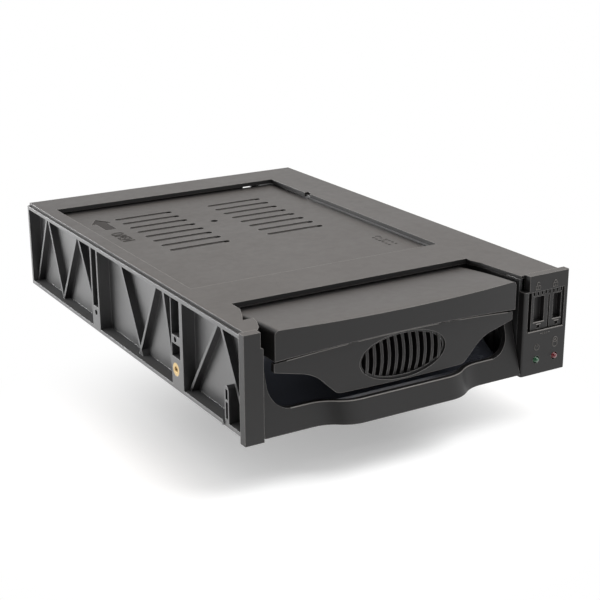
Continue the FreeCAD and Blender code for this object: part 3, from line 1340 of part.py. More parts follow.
def make_vent_grille():
    """Oval ring that seats in the fascia, with upright bars whose fronts bulge like barrels."""
    body = new_body("vent_grille", on_tray=True)
    face_y = "(dim.fascia_front - dim.fascia_bulge)"
    ring = new_sketch(body, "XZ", "grille_ring", f"{face_y} + dim.ring_setback")
    draw_oval(ring, "dim.oval_half_width", "dim.oval_half_height")
    draw_oval(ring, "dim.oval_half_width - dim.oval_rim", "dim.oval_half_height - dim.oval_rim")
    add(body, ring, "dim.ring_reach")

    bar = new_sketch(body, "YZ", "grille_bar", "-5 * dim.bar_pitch")
    low = "(dim.oval_z - dim.oval_half_height)"
    high = "(dim.oval_z + dim.oval_half_height)"
    root = f"({face_y} + dim.bar_recess)"
    back = f"({root} + dim.bar_depth)"
    draw_outline(bar, [
        (root, high, f"{root} - dim.bar_bulge", "dim.oval_z"), (root, low), (back, low), (back, high)])
    row(body, [add(body, bar, "dim.bar_width", 0)], "X", 11, "dim.bar_pitch")

    outside = new_sketch(body, "XZ", "grille_outside", f"{root} - dim.bar_bulge - dim.overrun")
    draw_box(outside, "-dim.oval_half_width - dim.overrun", "dim.oval_half_width + dim.overrun",
             f"{low} - dim.overrun", f"{high} + dim.overrun")
    draw_oval(outside, "dim.oval_half_width", "dim.oval_half_height")
    cut(body, outside, "dim.bar_depth + dim.bar_bulge + 2 * dim.overrun")
    return body


def make_finger_scoop():
    """Concave wall behind the fascia that leaves room for the fingers, open behind the grille."""
    body = new_body("finger_scoop", on_tray=True)
    bottom = "(pos.tray_bottom + dim.tub_floor)"
    centre_z = f"({bottom} + dim.scoop_wall + dim.scoop_radius)"
    profile = new_sketch(body, "YZ", "scoop_profile", "0")
    near = "dim.scoop_front"
    inner = f"({near} + dim.scoop_radius)"
    outer = f"({inner} + dim.scoop_wall)"
    draw_outline(profile, [
        (near, bottom, f"{near} + (dim.scoop_radius + dim.scoop_wall) * {DIAGONAL}",
         f"{centre_z} - (dim.scoop_radius + dim.scoop_wall) * {DIAGONAL}"),
        (outer, centre_z), (outer, "pos.scoop_top"), (inner, "pos.scoop_top"),
        (inner, centre_z, f"{near} + dim.scoop_radius * {DIAGONAL}",
         f"{centre_z} - dim.scoop_radius * {DIAGONAL}"),
        (near, f"{bottom} + dim.scoop_wall")])
    add(body, profile, "2 * pos.head_half", 0)
    vent = new_sketch(body, "XZ", "scoop_vent", "dim.scoop_front")
    draw_box(vent, "-dim.scoop_vent_half", "dim.scoop_vent_half", "dim.scoop_vent_bottom", "dim.scoop_vent_top")
    cut(body, vent, "dim.scoop_radius + dim.scoop_wall + dim.overrun")
    return body


def make_handle_pins():
    """Two pins on which the bail handle turns, pressed into the sides of the head."""
    pins = []
    for side, name in ((-1, "left"), (1, "right")):
        pin = doc.addObject("Part::Cylinder", f"{name}_handle_pin")
        pin.setExpression("Radius", "dim.pin_radius")
        pin.setExpression("Height", "dim.bail_side + dim.seat_clearance + dim.head_wall - dim.lap")
        pin.Placement = FreeCAD.Placement(Vector(), FreeCAD.Rotation(Vector(0, 1, 0), 90 * side))
        pin.setExpression("Placement.Base.x", f"({side}) * (pos.head_half - dim.head_wall)")
        pin.setExpression("Placement.Base.y", "dim.pivot_y")
        pin.setExpression("Placement.Base.z", "pos.pivot_z")
        pins.append(pin)
    return group("handle_pins", pins, on_tray=True)


def walked_back(path):
    """An open path walked from its last corner to its first, with each arc moved to its new start."""
    back = []
    for index in range(len(path) - 1, -1, -1):
        via = path[index - 1][2:] if index > 0 else ()
        back.append(path[index][:2] + via)
    return back


def wave(level):
    """The grip's front or back in plan, from left to right: flat ends and a bulge between two S bends."""
    half = "pos.tray_half"
    outer = "dim.wave_outer"
    inner = "dim.wave_inner"
    middle = f"(({outer} + {inner}) / 2)"
    run = f"(({outer} - {inner}) / 2)"
    rise = "(dim.wave_depth / 2)"
    chord = f"sqrt({run} * {run} + {rise} * {rise})"
    sway = f"({chord} * {chord} / (2 * {rise}) * (1 - {run} / {chord}))"
    near = f"({level} - {sway})"
    far = f"({level} - dim.wave_depth + {sway})"
    bulge = f"({level} - dim.wave_depth)"
    return [
        (f"-{half}", level), (f"-{outer}", level, f"-{outer} + {chord} / 2", near),
        (f"-{middle}", f"({level} - {rise})", f"-{inner} - {chord} / 2", far), (f"-{inner}", bulge),
        (inner, bulge, f"{inner} + {chord} / 2", far),
        (middle, f"({level} - {rise})", f"{outer} - {chord} / 2", near), (outer, level), (half, level)]


def make_bail_handle():
    """Bail that frames the tray's front: a waved grip bar below, leaning arms up to the two pins."""
    body = new_body("bail_handle", on_tray=True)
    half = "pos.tray_half"
    slab = new_sketch(body, "XY", "wave_plan", "dim.bar_bottom")
    draw_outline(slab, wave("0") + walked_back(wave("dim.bail_wall")))
    leaning = add(body, slab, "pos.bail_top - dim.bar_bottom")
    leaning.UseCustomVector = True
    leaning.Direction = Vector(0, number("dim.bail_lean"), 1)
    leaning.setExpression("Direction.y", "dim.bail_lean")
    leaning.AlongSketchNormal = True

    mouth = new_sketch(body, "XZ", "bail_mouth", "-dim.wave_depth - dim.overrun")
    inside = f"({half} - dim.bail_side)"
    bar_top = "(dim.bar_bottom + dim.bar_height)"
    top = "pos.bail_top + dim.overrun"
    corner = "dim.bail_corner"
    short = f"{corner} * (1 - {DIAGONAL})"
    draw_outline(mouth, [
        (f"-{inside}", top),
        (f"-{inside}", f"{bar_top} + {corner}", f"-{inside} + {short}", f"{bar_top} + {short}"),
        (f"-{inside} + {corner}", bar_top),
        (f"{inside} - {corner}", bar_top, f"{inside} - {short}", f"{bar_top} + {short}"),
        (inside, f"{bar_top} + {corner}"), (inside, top)])
    cut(body, mouth, "dim.wave_depth + dim.bail_wall + pos.bail_top * dim.bail_lean + 2 * dim.overrun")

    arm = new_sketch(body, "YZ", "bail_arm", inside)
    root_z = "dim.arm_root_z"
    root_y = f"(({root_z} - dim.bar_bottom) * dim.bail_lean)"
    boss = "dim.pivot_boss_radius"
    neck_z = f"(pos.pivot_z - {boss} + dim.arm_inset)"
    neck_y = f"(({neck_z} - dim.bar_bottom) * dim.bail_lean)"
    draw_outline(arm, [
        (f"{root_y} + dim.arm_inset", root_z), (f"{root_y} + dim.arm_root_wall", root_z),
        (f"dim.pivot_y + {boss}", "pos.pivot_z", "dim.pivot_y", f"pos.pivot_z + {boss}"),
        (f"dim.pivot_y - {boss}", "pos.pivot_z"), (f"{neck_y} + dim.arm_inset", neck_z)])
    arm_pad = add(body, arm, "dim.bail_side")
    mirror(body, [arm_pad])
    eye = new_sketch(body, "YZ", "bail_eye", f"-{half} - dim.overrun")
    draw_circle(eye, "dim.pivot_y", "pos.pivot_z", "dim.pin_radius + dim.pin_clearance")
    cut(body, eye, f"2 * {half} + 2 * dim.overrun")
    return body


def make_adapter_board():
    body = new_body("adapter_board", on_tray=True)
    face = new_sketch(body, "XZ", "adapter_face", "pos.adapter_y")
    draw_box(face, "-pos.adapter_half_width", "pos.adapter_half_width", "dim.adapter_bottom",
             "dim.adapter_bottom + dim.adapter_height")
    for side in (-1, 1):
        draw_circle(face, f"({side}) * (pos.adapter_half_width - dim.post_margin)", "dim.adapter_screw_z",
                    "dim.screw_radius")
    add(body, face, "dim.board_wall")
    return body


def make_adapter_screws():
    pieces = []
    for side, name in ((-1, "left"), (1, "right")):
        pieces.append(screw(f"{name}_adapter_screw", f"({side}) * (pos.adapter_half_width - dim.post_margin)",
                            "pos.adapter_y", "dim.adapter_screw_z"))
    return group("adapter_screws", pieces, on_tray=True)


def make_drive_connector():
    """Receptacle that the drive plugs into, on the front of the adapter board."""
    body = new_body("drive_connector", on_tray=True)
    half = "dim.drive_plug_half"
    block = new_sketch(body, "XZ", "drive_block", "pos.adapter_y")
    top = "dim.drive_plug_bottom + dim.drive_plug_height"
    draw_box(block, f"-{half}", half, "dim.drive_plug_bottom", top)
    add(body, block, "dim.drive_plug_depth", -1)
    mouth = new_sketch(body, "XZ", "drive_mouth", "pos.adapter_y - dim.drive_plug_depth - dim.overrun")
    low = "dim.drive_plug_bottom + dim.drive_mouth_margin"
    high = f"{top} - dim.drive_mouth_margin"
    draw_box(mouth, f"-{half} + dim.drive_mouth_side", "-dim.drive_mouth_key", low, high)
    draw_box(mouth, "0", f"{half} - dim.drive_mouth_side", low, high)
    cut(body, mouth, "dim.drive_mouth_depth + dim.overrun")
    return body


def make_docking_plug():
    """Male half of the docking connector, through the tray's rear wall."""
    body = new_body("docking_plug", on_tray=True)
    block = new_sketch(body, "XZ", "plug_block", "pos.adapter_y + dim.board_wall")
    draw_box(block, "-dim.dock_half_width", "dim.dock_half_width",
             "dim.dock_z - dim.dock_height / 2", "dim.dock_z + dim.dock_height / 2")
    add(body, block, "pos.tub_rear - pos.adapter_y - dim.board_wall")
    tongue = new_sketch(body, "XZ", "plug_tongue", "pos.tub_rear - dim.overrun")
    draw_box(tongue, "-dim.dock_half_width", "dim.dock_half_width",
             "dim.dock_z - dim.tongue_wall / 2", "dim.dock_z + dim.tongue_wall / 2")
    add(body, tongue, "dim.tongue_reach + dim.overrun")
    return body


# ---------------------------------------------------------------------------------------------
# Build, check and write
# ---------------------------------------------------------------------------------------------
nodes = [
    make_body_shell(), make_top_plate(), make_left_bezel(), make_control_panel(), make_brass_inserts(),
    make_backplane_board(), make_backplane_screws(), make_docking_socket(), make_power_inlet(),
    make_inlet_pins(), make_data_socket(), make_lock_board(), make_lock_switch(),
    make_led("power_led", "pos.power_led_x"), make_led("activity_led", "pos.activity_led_x"),
    make_lock_slider(), make_lock_bolt(),
    make_tray_tub(), make_tray_cover(), make_tray_head(), make_vent_fascia(), make_vent_grille(),
    make_finger_scoop(), make_handle_pins(), make_bail_handle(), make_adapter_board(),
    make_adapter_screws(), make_drive_connector(), make_docking_plug(),
]
doc.recompute()

for item in doc.Objects:
    if "Invalid" in item.State or "Error" in item.State:
        raise RuntimeError(f"{item.Label} did not build: {item.State}")
    if item.TypeId == "PartDesign::Pocket" and item.BaseFeature.Shape.Volume - item.Shape.Volume < NEAR:
        raise RuntimeError(f"{item.Label} cuts nothing")
for node in nodes:
    if node.Shape.isNull() or not node.Shape.isValid() or not node.Shape.Solids:
        raise RuntimeError(f"{node.Label} has no valid solid")
    node.Shape.exportStep(f"parts/{node.Label}.step")
    box = node.Shape.BoundBox
    print(f"{node.Label:18} solids {len(node.Shape.Solids)}  volume {node.Shape.Volume:9.1f}  "
          f"X {box.XMin:7.2f} {box.XMax:7.2f}  Y {box.YMin:8.2f} {box.YMax:7.2f}  "
          f"Z {box.ZMin:6.2f} {box.ZMax:6.2f}")
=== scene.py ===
# %% [markdown]
# # A hot swap drive cage
# This lesson dresses a moulded plastic rack that fills a wide drive bay and holds one removable
# drive tray.  The shapes of its mouldings come from a CAD model that is loaded as a fixed frame.
# Our work is the finish: moulded plastics, brass, steel and lamp lenses, plus the small raised
# marks, contacts and parts that the CAD model leaves to us.

# %% Load the frame
import math

import bmesh
import bpy
from mathutils import Euler, Matrix, Vector


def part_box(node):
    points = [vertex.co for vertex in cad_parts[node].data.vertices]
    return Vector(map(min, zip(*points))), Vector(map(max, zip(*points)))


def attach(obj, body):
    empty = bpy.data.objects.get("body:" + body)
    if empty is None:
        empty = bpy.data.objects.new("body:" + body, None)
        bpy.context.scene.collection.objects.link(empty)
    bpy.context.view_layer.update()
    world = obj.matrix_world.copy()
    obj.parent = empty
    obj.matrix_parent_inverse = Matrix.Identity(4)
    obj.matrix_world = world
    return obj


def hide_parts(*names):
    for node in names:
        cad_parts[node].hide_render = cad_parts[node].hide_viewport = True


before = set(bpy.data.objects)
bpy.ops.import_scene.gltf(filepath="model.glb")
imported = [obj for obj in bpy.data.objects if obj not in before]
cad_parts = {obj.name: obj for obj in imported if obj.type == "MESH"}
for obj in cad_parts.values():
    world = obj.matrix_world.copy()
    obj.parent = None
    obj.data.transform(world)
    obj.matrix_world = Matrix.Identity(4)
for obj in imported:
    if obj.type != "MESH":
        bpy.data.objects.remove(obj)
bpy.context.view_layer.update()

MM = 0.001

# %% [markdown]
# ## Colours and nodes
# Colours are picked as sRGB hex values, the way a designer notes them, but Blender shades in
# linear light.  One function turns the one into the other.  Nodes could be added and linked line by
# line.  Instead a second function adds any node, sets its properties and fills or links its
# sockets, so that a material reads as a short list.

# %% Colour and node helpers
def linear(hex_colour):
    """An sRGB hex colour as linear RGBA."""
    channels = [int(hex_colour[i:i + 2], 16) / 255 for i in (1, 3, 5)]
    return [c / 12.92 if c <= 0.04045 else ((c + 0.055) / 1.055) ** 2.4 for c in channels] + [1.0]


def add_node(tree, kind, sockets=None, **settings):
    """Add a node.  sockets maps an input's name or index to a value or to an output to link."""
    node = tree.nodes.new(kind)
    for name, value in settings.items():
        setattr(node, name, value)
    for name, value in (sockets or {}).items():
        socket = node.inputs[name]
        if isinstance(value, bpy.types.NodeSocket):
            tree.links.new(value, socket)
        else:
            socket.default_value = value
    return node


def new_material(name):
    """A material with an empty tree and its output node."""
    material = bpy.data.materials.new(name)
    material.use_nodes = True
    material.node_tree.nodes.clear()
    return material, material.node_tree


def finish_material(tree, shader):
    add_node(tree, "ShaderNodeOutputMaterial", {"Surface": shader.outputs[0]})


def grain_scale(size_mm):
    """Scale of a noise texture whose features are about size_mm across, in Object coordinates."""
    return 1.0 / (size_mm * MM)


print("sRGB #808080 is", round(linear("#808080")[0], 3), "in linear light")

# %% [markdown]
# ## Moulded ABS
# The rack is injection moulded in black ABS.  The steel mould was spark eroded, which leaves a
# fine pebbled skin that scatters a highlight into a soft warm sheen.  Hidden walls come from a
# smoother mould and shine more.  The base is nearly black, so almost everything the eye sees is
# sheen: the roughness and the pebble bump matter more than the colour.  Real moulded edges are
# never sharp.  The Bevel node rounds the shading near an edge, and where the rounded normal
# leaves the flat one we know that we are at an edge.  Ambient occlusion tells an outer edge from
# an inner corner.  Outer edges get a paler colour there: a painted highlight for the thin line of
# light that a rounded edge catches.  Real pebbles are about a tenth of a millimetre across, so
# they are drawn a few times coarser to show.

# %% ABS materials
CLOUD_MM = 35.0
SCUFF_MM = 4.0
SHEEN_CHANGE = 0.025
SCUFF_CHANGE = 0.02


def moulded_abs(name, colour, edge_highlight_colour, roughness, pebble_mm, pebble_depth_mm, edge_mm=0.35, coat=0.0,
                ior=1.45, ledge_roughness=0.0):
    """Black ABS with a pebbled skin, rounded edges and faint clouds in its sheen.

    The paler colour on its outer edges is a painted highlight.

    ledge_roughness is added to the roughness of faces that look up, which dulls inner ledges.
    """
    material, tree = new_material(name)
    place = add_node(tree, "ShaderNodeTexCoord").outputs["Object"]
    geometry = add_node(tree, "ShaderNodeNewGeometry")
    rounded = add_node(tree, "ShaderNodeBevel", {"Radius": edge_mm * MM}, samples=6)
    likeness = add_node(tree, "ShaderNodeVectorMath", {0: rounded.outputs[0], 1: geometry.outputs["Normal"]},
                        operation="DOT_PRODUCT")
    # A mask of the outer edges, which get the painted highlight.
    edge = add_node(tree, "ShaderNodeMapRange",
                    {"Value": likeness.outputs["Value"], "From Min": 0.995, "From Max": 0.8})
    shelter = add_node(tree, "ShaderNodeAmbientOcclusion", {"Distance": 2 * edge_mm * MM}, samples=6)
    outer = add_node(tree, "ShaderNodeMapRange",
                     {"Value": shelter.outputs["AO"], "From Min": 0.75, "From Max": 0.95})
    edge = add_node(tree, "ShaderNodeMath", {0: edge.outputs[0], 1: outer.outputs[0]}, operation="MULTIPLY")
    pebbles = add_node(tree, "ShaderNodeTexNoise",
                       {"Vector": place, "Scale": grain_scale(pebble_mm), "Detail": 3.0, "Roughness": 0.6})
    clouds = add_node(tree, "ShaderNodeTexNoise",
                      {"Vector": place, "Scale": grain_scale(CLOUD_MM), "Detail": 4.0})
    scuffs = add_node(tree, "ShaderNodeTexNoise",
                      {"Vector": place, "Scale": grain_scale(SCUFF_MM), "Detail": 5.0, "Distortion": 0.6})
    # Outer edges take the paler edge colour: a painted highlight.
    tint = add_node(tree, "ShaderNodeMix", {
        "Factor": edge.outputs[0], "A": linear(colour), "B": linear(edge_highlight_colour)}, data_type="RGBA")
    cloudy = add_node(tree, "ShaderNodeMapRange", {
        "Value": clouds.outputs["Fac"], "From Min": 0.3, "From Max": 0.7,
        "To Min": roughness - SHEEN_CHANGE, "To Max": roughness + SHEEN_CHANGE})
    scuffed = add_node(tree, "ShaderNodeMapRange", {
        "Value": scuffs.outputs["Fac"], "From Min": 0.35, "From Max": 0.7,
        "To Min": -SCUFF_CHANGE, "To Max": SCUFF_CHANGE})
    worn = add_node(tree, "ShaderNodeMath", {0: cloudy.outputs[0], 1: scuffed.outputs[0]}, operation="ADD")
    facing = add_node(tree, "ShaderNodeSeparateXYZ", {0: geometry.outputs["Normal"]})
    ledge = add_node(tree, "ShaderNodeMapRange", {
        "Value": facing.outputs["Z"], "From Min": 0.6, "From Max": 0.9, "To Max": ledge_roughness})
    worn = add_node(tree, "ShaderNodeMath", {0: worn.outputs[0], 1: ledge.outputs[0]}, operation="ADD")
    bump = add_node(tree, "ShaderNodeBump", {
        "Height": pebbles.outputs["Fac"], "Strength": 0.55, "Distance": pebble_depth_mm * MM,
        "Normal": rounded.outputs[0]})
    shader = add_node(tree, "ShaderNodeBsdfPrincipled", {
        "Base Color": tint.outputs["Result"], "Roughness": worn.outputs[0], "IOR": ior,
        "Normal": bump.outputs[0], "Coat Weight": coat, "Coat Roughness": 0.22})
    finish_material(tree, shader)
    return material


# The grille beads' finish: its very pale edge colour is a painted highlight.
edge_highlight_abs = moulded_abs("black_abs_painted_edge_highlights", "#141313", "#b0adab", 0.34, 0.45, 0.006, 0.16)
textured_abs = moulded_abs("black_abs_spark_textured", "#1a1919", "#8f8c8a", 0.44, 0.45, 0.018)
smooth_abs = moulded_abs("black_abs_satin", "#171718", "#4a4a4e", 0.38, 0.9, 0.003, 0.22, ior=2.1,
                         ledge_roughness=0.5)
# Thin pale lines laid on rims and lips: their pale colour is a painted highlight.
highlight_line_abs = moulded_abs("black_abs_painted_highlight_lines", "#73706d", "#98958f", 0.32, 0.6, 0.004, 0.1)
# Raised marks paler than the face: their grey colour is a painted highlight.
marked_abs = moulded_abs("black_abs_raised_marks", "#5a5754", "#706d6a", 0.4, 0.6, 0.004, 0.1)
etched_abs = moulded_abs("black_abs_etched", "#262525", "#363534", 0.75, 0.5, 0.02, 0.1, ior=1.35)
matt_abs = moulded_abs("black_abs_matt", "#201f1f", "#5a5856", 0.62, 0.5, 0.018, 0.2, ior=1.4)
# The finger scoop's finish: its gloss is real, and its pale blue-grey base is a painted reflection in the
# scoop's deep, shaded hollow.
gloss_and_painted_reflection_abs = moulded_abs("black_abs_gloss_painted_reflection", "#50535c", "#686a72", 0.24, 1.5, 0.002, 0.25, coat=0.6, ior=1.5)
print("ABS finishes", [material.name for material in bpy.data.materials if "black_abs_" in material.name])

# %% [markdown]
# ## Metals
# The bay screws bite into knurled brass inserts that are pressed hot into the plastic.  The small
# screws and pins are zinc-plated steel, which has a faint blue cast and mottled grey clouds.  The
# contacts are flashed with gold.  An image could paint such clouds, but one noise texture can drive
# tone, polish and a slight bump together, as tarnish does, and it needs no picture.

# %% Metals
POLISH_CHANGE = 0.08


def turned_metal(name, colour, dark_colour, roughness, mottle_mm):
    """Bare metal whose tone and polish change in small clouds."""
    material, tree = new_material(name)
    place = add_node(tree, "ShaderNodeTexCoord").outputs["Object"]
    mottle = add_node(tree, "ShaderNodeTexNoise",
                      {"Vector": place, "Scale": grain_scale(mottle_mm), "Detail": 4.0})
    tint = add_node(tree, "ShaderNodeMix", {
        "Factor": mottle.outputs["Fac"], "A": linear(dark_colour), "B": linear(colour)}, data_type="RGBA")
    polish = add_node(tree, "ShaderNodeMapRange", {
        "Value": mottle.outputs["Fac"], "To Min": roughness + POLISH_CHANGE,
        "To Max": roughness - POLISH_CHANGE})
    bump = add_node(tree, "ShaderNodeBump",
                    {"Height": mottle.outputs["Fac"], "Strength": 0.2, "Distance": 0.02 * MM})
    shader = add_node(tree, "ShaderNodeBsdfPrincipled", {
        "Base Color": tint.outputs["Result"], "Metallic": 1.0, "Roughness": polish.outputs[0],
        "Normal": bump.outputs[0]})
    finish_material(tree, shader)
    return material


turned_brass = turned_metal("turned_brass", "#ead3a0", "#b3925a", 0.3, 0.8)
zinc_steel = turned_metal("zinc_plated_steel", "#c9ccd1", "#8d9096", 0.35, 1.2)
gilded_contact = turned_metal("gold_flashed_contact", "#e9c873", "#c79a45", 0.25, 0.5)
print("metals", [metal.name for metal in (turned_brass, zinc_steel, gilded_contact)])

# %% [markdown]
# ## Boards, connectors and lamps
# A circuit board is glass cloth under green lacquer.  Copper tracks lie under the lacquer and
# show as a paler, slightly raised maze.  They could be drawn one by one, but a Voronoi measured in
# Manhattan distance has angular cell borders that read as tracks at this size.  Connector housings
# are glass-filled nylon, dull and flecked.  A lamp is tinted epoxy: some light goes in, so it gets a
# little transmission and a smooth skin.

# %% Board, nylon and lens materials
TRACK_SPACING_MM = 4.0
FLECK_MM = 0.6


def lacquered_board(name, colour, track_colour):
    """Green lacquer over raised copper tracks, drawn coarser than real ones so that they show."""
    material, tree = new_material(name)
    place = add_node(tree, "ShaderNodeTexCoord").outputs["Object"]
    cells = add_node(tree, "ShaderNodeTexVoronoi", {"Vector": place, "Scale": grain_scale(TRACK_SPACING_MM)},
                     feature="F1", distance="MANHATTAN")
    track = add_node(tree, "ShaderNodeMapRange",
                     {"Value": cells.outputs["Distance"], "From Min": 0.42, "From Max": 0.5})
    tint = add_node(tree, "ShaderNodeMix", {
        "Factor": track.outputs[0], "A": linear(colour), "B": linear(track_colour)}, data_type="RGBA")
    bump = add_node(tree, "ShaderNodeBump",
                    {"Height": track.outputs[0], "Strength": 0.3, "Distance": 0.04 * MM})
    shader = add_node(tree, "ShaderNodeBsdfPrincipled", {
        "Base Color": tint.outputs["Result"], "Roughness": 0.3, "IOR": 1.52, "Normal": bump.outputs[0]})
    finish_material(tree, shader)
    return material


def filled_nylon(name, colour, fleck_colour, roughness):
    """Glass-filled nylon: short fibres near the skin leave paler flecks."""
    material, tree = new_material(name)
    place = add_node(tree, "ShaderNodeTexCoord").outputs["Object"]
    fleck = add_node(tree, "ShaderNodeTexNoise",
                     {"Vector": place, "Scale": grain_scale(FLECK_MM), "Detail": 2.0})
    tint = add_node(tree, "ShaderNodeMix", {
        "Factor": fleck.outputs["Fac"], "A": linear(colour), "B": linear(fleck_colour)}, data_type="RGBA")
    bump = add_node(tree, "ShaderNodeBump",
                    {"Height": fleck.outputs["Fac"], "Strength": 0.25, "Distance": 0.02 * MM})
    shader = add_node(tree, "ShaderNodeBsdfPrincipled", {
        "Base Color": tint.outputs["Result"], "Roughness": roughness, "IOR": 1.53, "Normal": bump.outputs[0]})
    finish_material(tree, shader)
    return material


def tinted_lens(name, colour, deep_colour):
    """Epoxy lamp body, painted paler where it faces the eye, a painted glow in its crown."""
    material, tree = new_material(name)
    # Where the surface faces the eye the colour is paler: a painted glow.
    facing = add_node(tree, "ShaderNodeLayerWeight", {"Blend": 0.35})
    tint = add_node(tree, "ShaderNodeMix", {
        "Factor": facing.outputs["Facing"], "A": linear(colour), "B": linear(deep_colour)}, data_type="RGBA")
    shader = add_node(tree, "ShaderNodeBsdfPrincipled", {
        "Base Color": tint.outputs["Result"], "Roughness": 0.16, "IOR": 1.55, "Transmission Weight": 0.1})
    finish_material(tree, shader)
    return material


green_board = lacquered_board("lacquered_board", "#0d4a2a", "#2f7a48")
black_nylon = filled_nylon("black_filled_nylon", "#161617", "#242425", 0.5)
white_nylon = filled_nylon("natural_nylon", "#d8d3c4", "#e6e1d3", 0.45)
green_lens = tinted_lens("green_epoxy_lamp", "#0f4f2c", "#06301a")
red_lens = tinted_lens("red_epoxy_lamp", "#6e1520", "#3a070c")
print("materials so far", len(bpy.data.materials))

# %% [markdown]
# ## Dressing the CAD nodes
# Every moulding, board and connector of the rack is already a mesh in the frame.  We could copy
# and paint each one by hand.  A table of which nodes share a finish is shorter, and a node that
# keeps its own mesh stays true to the CAD model, so we only fill its material slots.

# %% Give every CAD node its finish
FINISHES = {
    textured_abs: ["top_plate", "left_bezel", "control_panel", "tray_cover", "tray_head", "bail_handle",
                   "lock_slider", "vent_fascia"],
    edge_highlight_abs: ["vent_grille"],
    smooth_abs: ["body_shell", "tray_tub", "lock_bolt"],
    gloss_and_painted_reflection_abs: ["finger_scoop"],
    turned_brass: ["brass_inserts"],
    gilded_contact: ["inlet_pins"],
    zinc_steel: ["backplane_screws", "adapter_screws", "handle_pins"],
    green_board: ["backplane_board", "adapter_board", "lock_board"],
    black_nylon: ["docking_socket", "docking_plug", "data_socket", "drive_connector", "lock_switch"],
    white_nylon: ["power_inlet"],
    green_lens: ["power_led"],
    red_lens: ["activity_led"],
}
for finish, nodes in FINISHES.items():
    for node in nodes:
        for material_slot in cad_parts[node].material_slots:
            material_slot.material = finish
dressed = sum(len(nodes) for nodes in FINISHES.values())
print("dressed", dressed, "of", len(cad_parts), "nodes")

# %% [markdown]
# ## Growing what repeats
# Grille beads, screw threads, contacts, slot floors and date dots repeat, so Geometry Nodes make
# them.  Each tree has named inputs for its sizes, and most of them are one shape set out in a
# straight row, which one function does.  A tree ends in Realize Instances and Set Material, because
# an exported model holds plain meshes only.  We run it once as a modifier on an empty mesh, keep
# the evaluated result, and throw the modifier away.  Places come from the boxes of the CAD nodes.

# %% Helpers for grown pieces
def new_tree(name, **inputs):
    """A Geometry Nodes tree with a named input for each keyword, and a Finish input."""
    tree = bpy.data.node_groups.new(name, "GeometryNodeTree")
    kinds = {int: "NodeSocketInt", float: "NodeSocketFloat", tuple: "NodeSocketVector"}
    for label, value in inputs.items():
        socket = tree.interface.new_socket(label, in_out="INPUT", socket_type=kinds[type(value)])
        socket.default_value = value
    tree.interface.new_socket("Finish", in_out="INPUT", socket_type="NodeSocketMaterial")
    tree.interface.new_socket("Geometry", in_out="OUTPUT", socket_type="NodeSocketGeometry")
    return tree, add_node(tree, "NodeGroupInput").outputs


def end_tree(tree, entry, geometry):
    """Make instances real, paint them and send them out."""
    real = add_node(tree, "GeometryNodeRealizeInstances", {"Geometry": geometry})
    painted = add_node(tree, "GeometryNodeSetMaterial",
                       {"Geometry": real.outputs[0], "Material": entry["Finish"]})
    add_node(tree, "NodeGroupOutput", {"Geometry": painted.outputs[0]})


def row_tree(name, draw_shape, turn=(0.0, 0.0, 0.0), **inputs):
    """A tree that sets Count copies of a shape from Start in steps of Step.

    draw_shape(tree, entry) adds the shape's nodes and gives its mesh and its scale.
    """
    tree, entry = new_tree(name, Count=6, Start=(0.0, 0.0, 0.0), Step=(0.0, 0.002, 0.0), **inputs)
    places = add_node(tree, "GeometryNodeMeshLine", {
        "Count": entry["Count"], "Start Location": entry["Start"], "Offset": entry["Step"]}, mode="OFFSET")
    shape, scale = draw_shape(tree, entry)
    row = add_node(tree, "GeometryNodeInstanceOnPoints", {
        "Points": places.outputs[0], "Instance": shape, "Rotation": turn, "Scale": scale})
    end_tree(tree, entry, row.outputs[0])
    return tree


def mesh_of(data, finish):
    """The plain mesh of a drawn curve or text, in one finish."""
    drawn = bpy.data.objects.new(data.name + "_drawn", data)
    bpy.context.scene.collection.objects.link(drawn)
    mesh = bpy.data.meshes.new_from_object(drawn.evaluated_get(bpy.context.evaluated_depsgraph_get()))
    bpy.data.objects.remove(drawn)
    mesh.materials.clear()
    mesh.materials.append(finish)
    return mesh


def mesh_from(sculpt, name):
    """A mesh of what bmesh built, with its faces turned outwards."""
    bmesh.ops.recalc_face_normals(sculpt, faces=sculpt.faces)
    mesh = bpy.data.meshes.new(name)
    sculpt.to_mesh(mesh)
    sculpt.free()
    return mesh


def keep_piece(name, mesh, body, smooth=True):
    piece = bpy.data.objects.new(name, mesh)
    bpy.context.scene.collection.objects.link(piece)
    mesh.polygons.foreach_set("use_smooth", [smooth] * len(mesh.polygons))
    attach(piece, body)
    return piece


def grow(name, tree, body, slot, finish, smooth=True, **sizes):
    """Run a tree with these sizes and keep the result as a plain mesh."""
    seed = bpy.data.objects.new(name + "_seed", bpy.data.meshes.new(name + "_seed"))
    bpy.context.scene.collection.objects.link(seed)
    modifier = seed.modifiers.new("grow", "NODES")
    modifier.node_group = tree
    sizes["Finish"] = finish
    for item in tree.interface.items_tree:
        if item.item_type == "SOCKET" and item.in_out == "INPUT" and item.name in sizes:
            modifier[item.identifier] = sizes[item.name]
    seed.update_tag()
    evaluated = seed.evaluated_get(bpy.context.evaluated_depsgraph_get())
    mesh = bpy.data.meshes.new_from_object(evaluated)
    seed.modifiers.remove(modifier)
    bpy.data.objects.remove(seed)
    print(name, "has", len(mesh.polygons), "faces")
    keep_piece(name, mesh, body, smooth)

# %% [markdown]
# ## The grille's bars
# The oval grille has upright bars whose fronts bulge like a barrel's staves.  Each is rounded at
# the front, so that it catches one thin line of light.  A bead on the front of each CAD bar does
# that.  Eleven curves could be drawn by hand, but one rule gives them all: the tree starts with one
# straight line per bar, shortens each to the oval's height at its place, bends it forward with a
# parabola, and sweeps a circle along it.

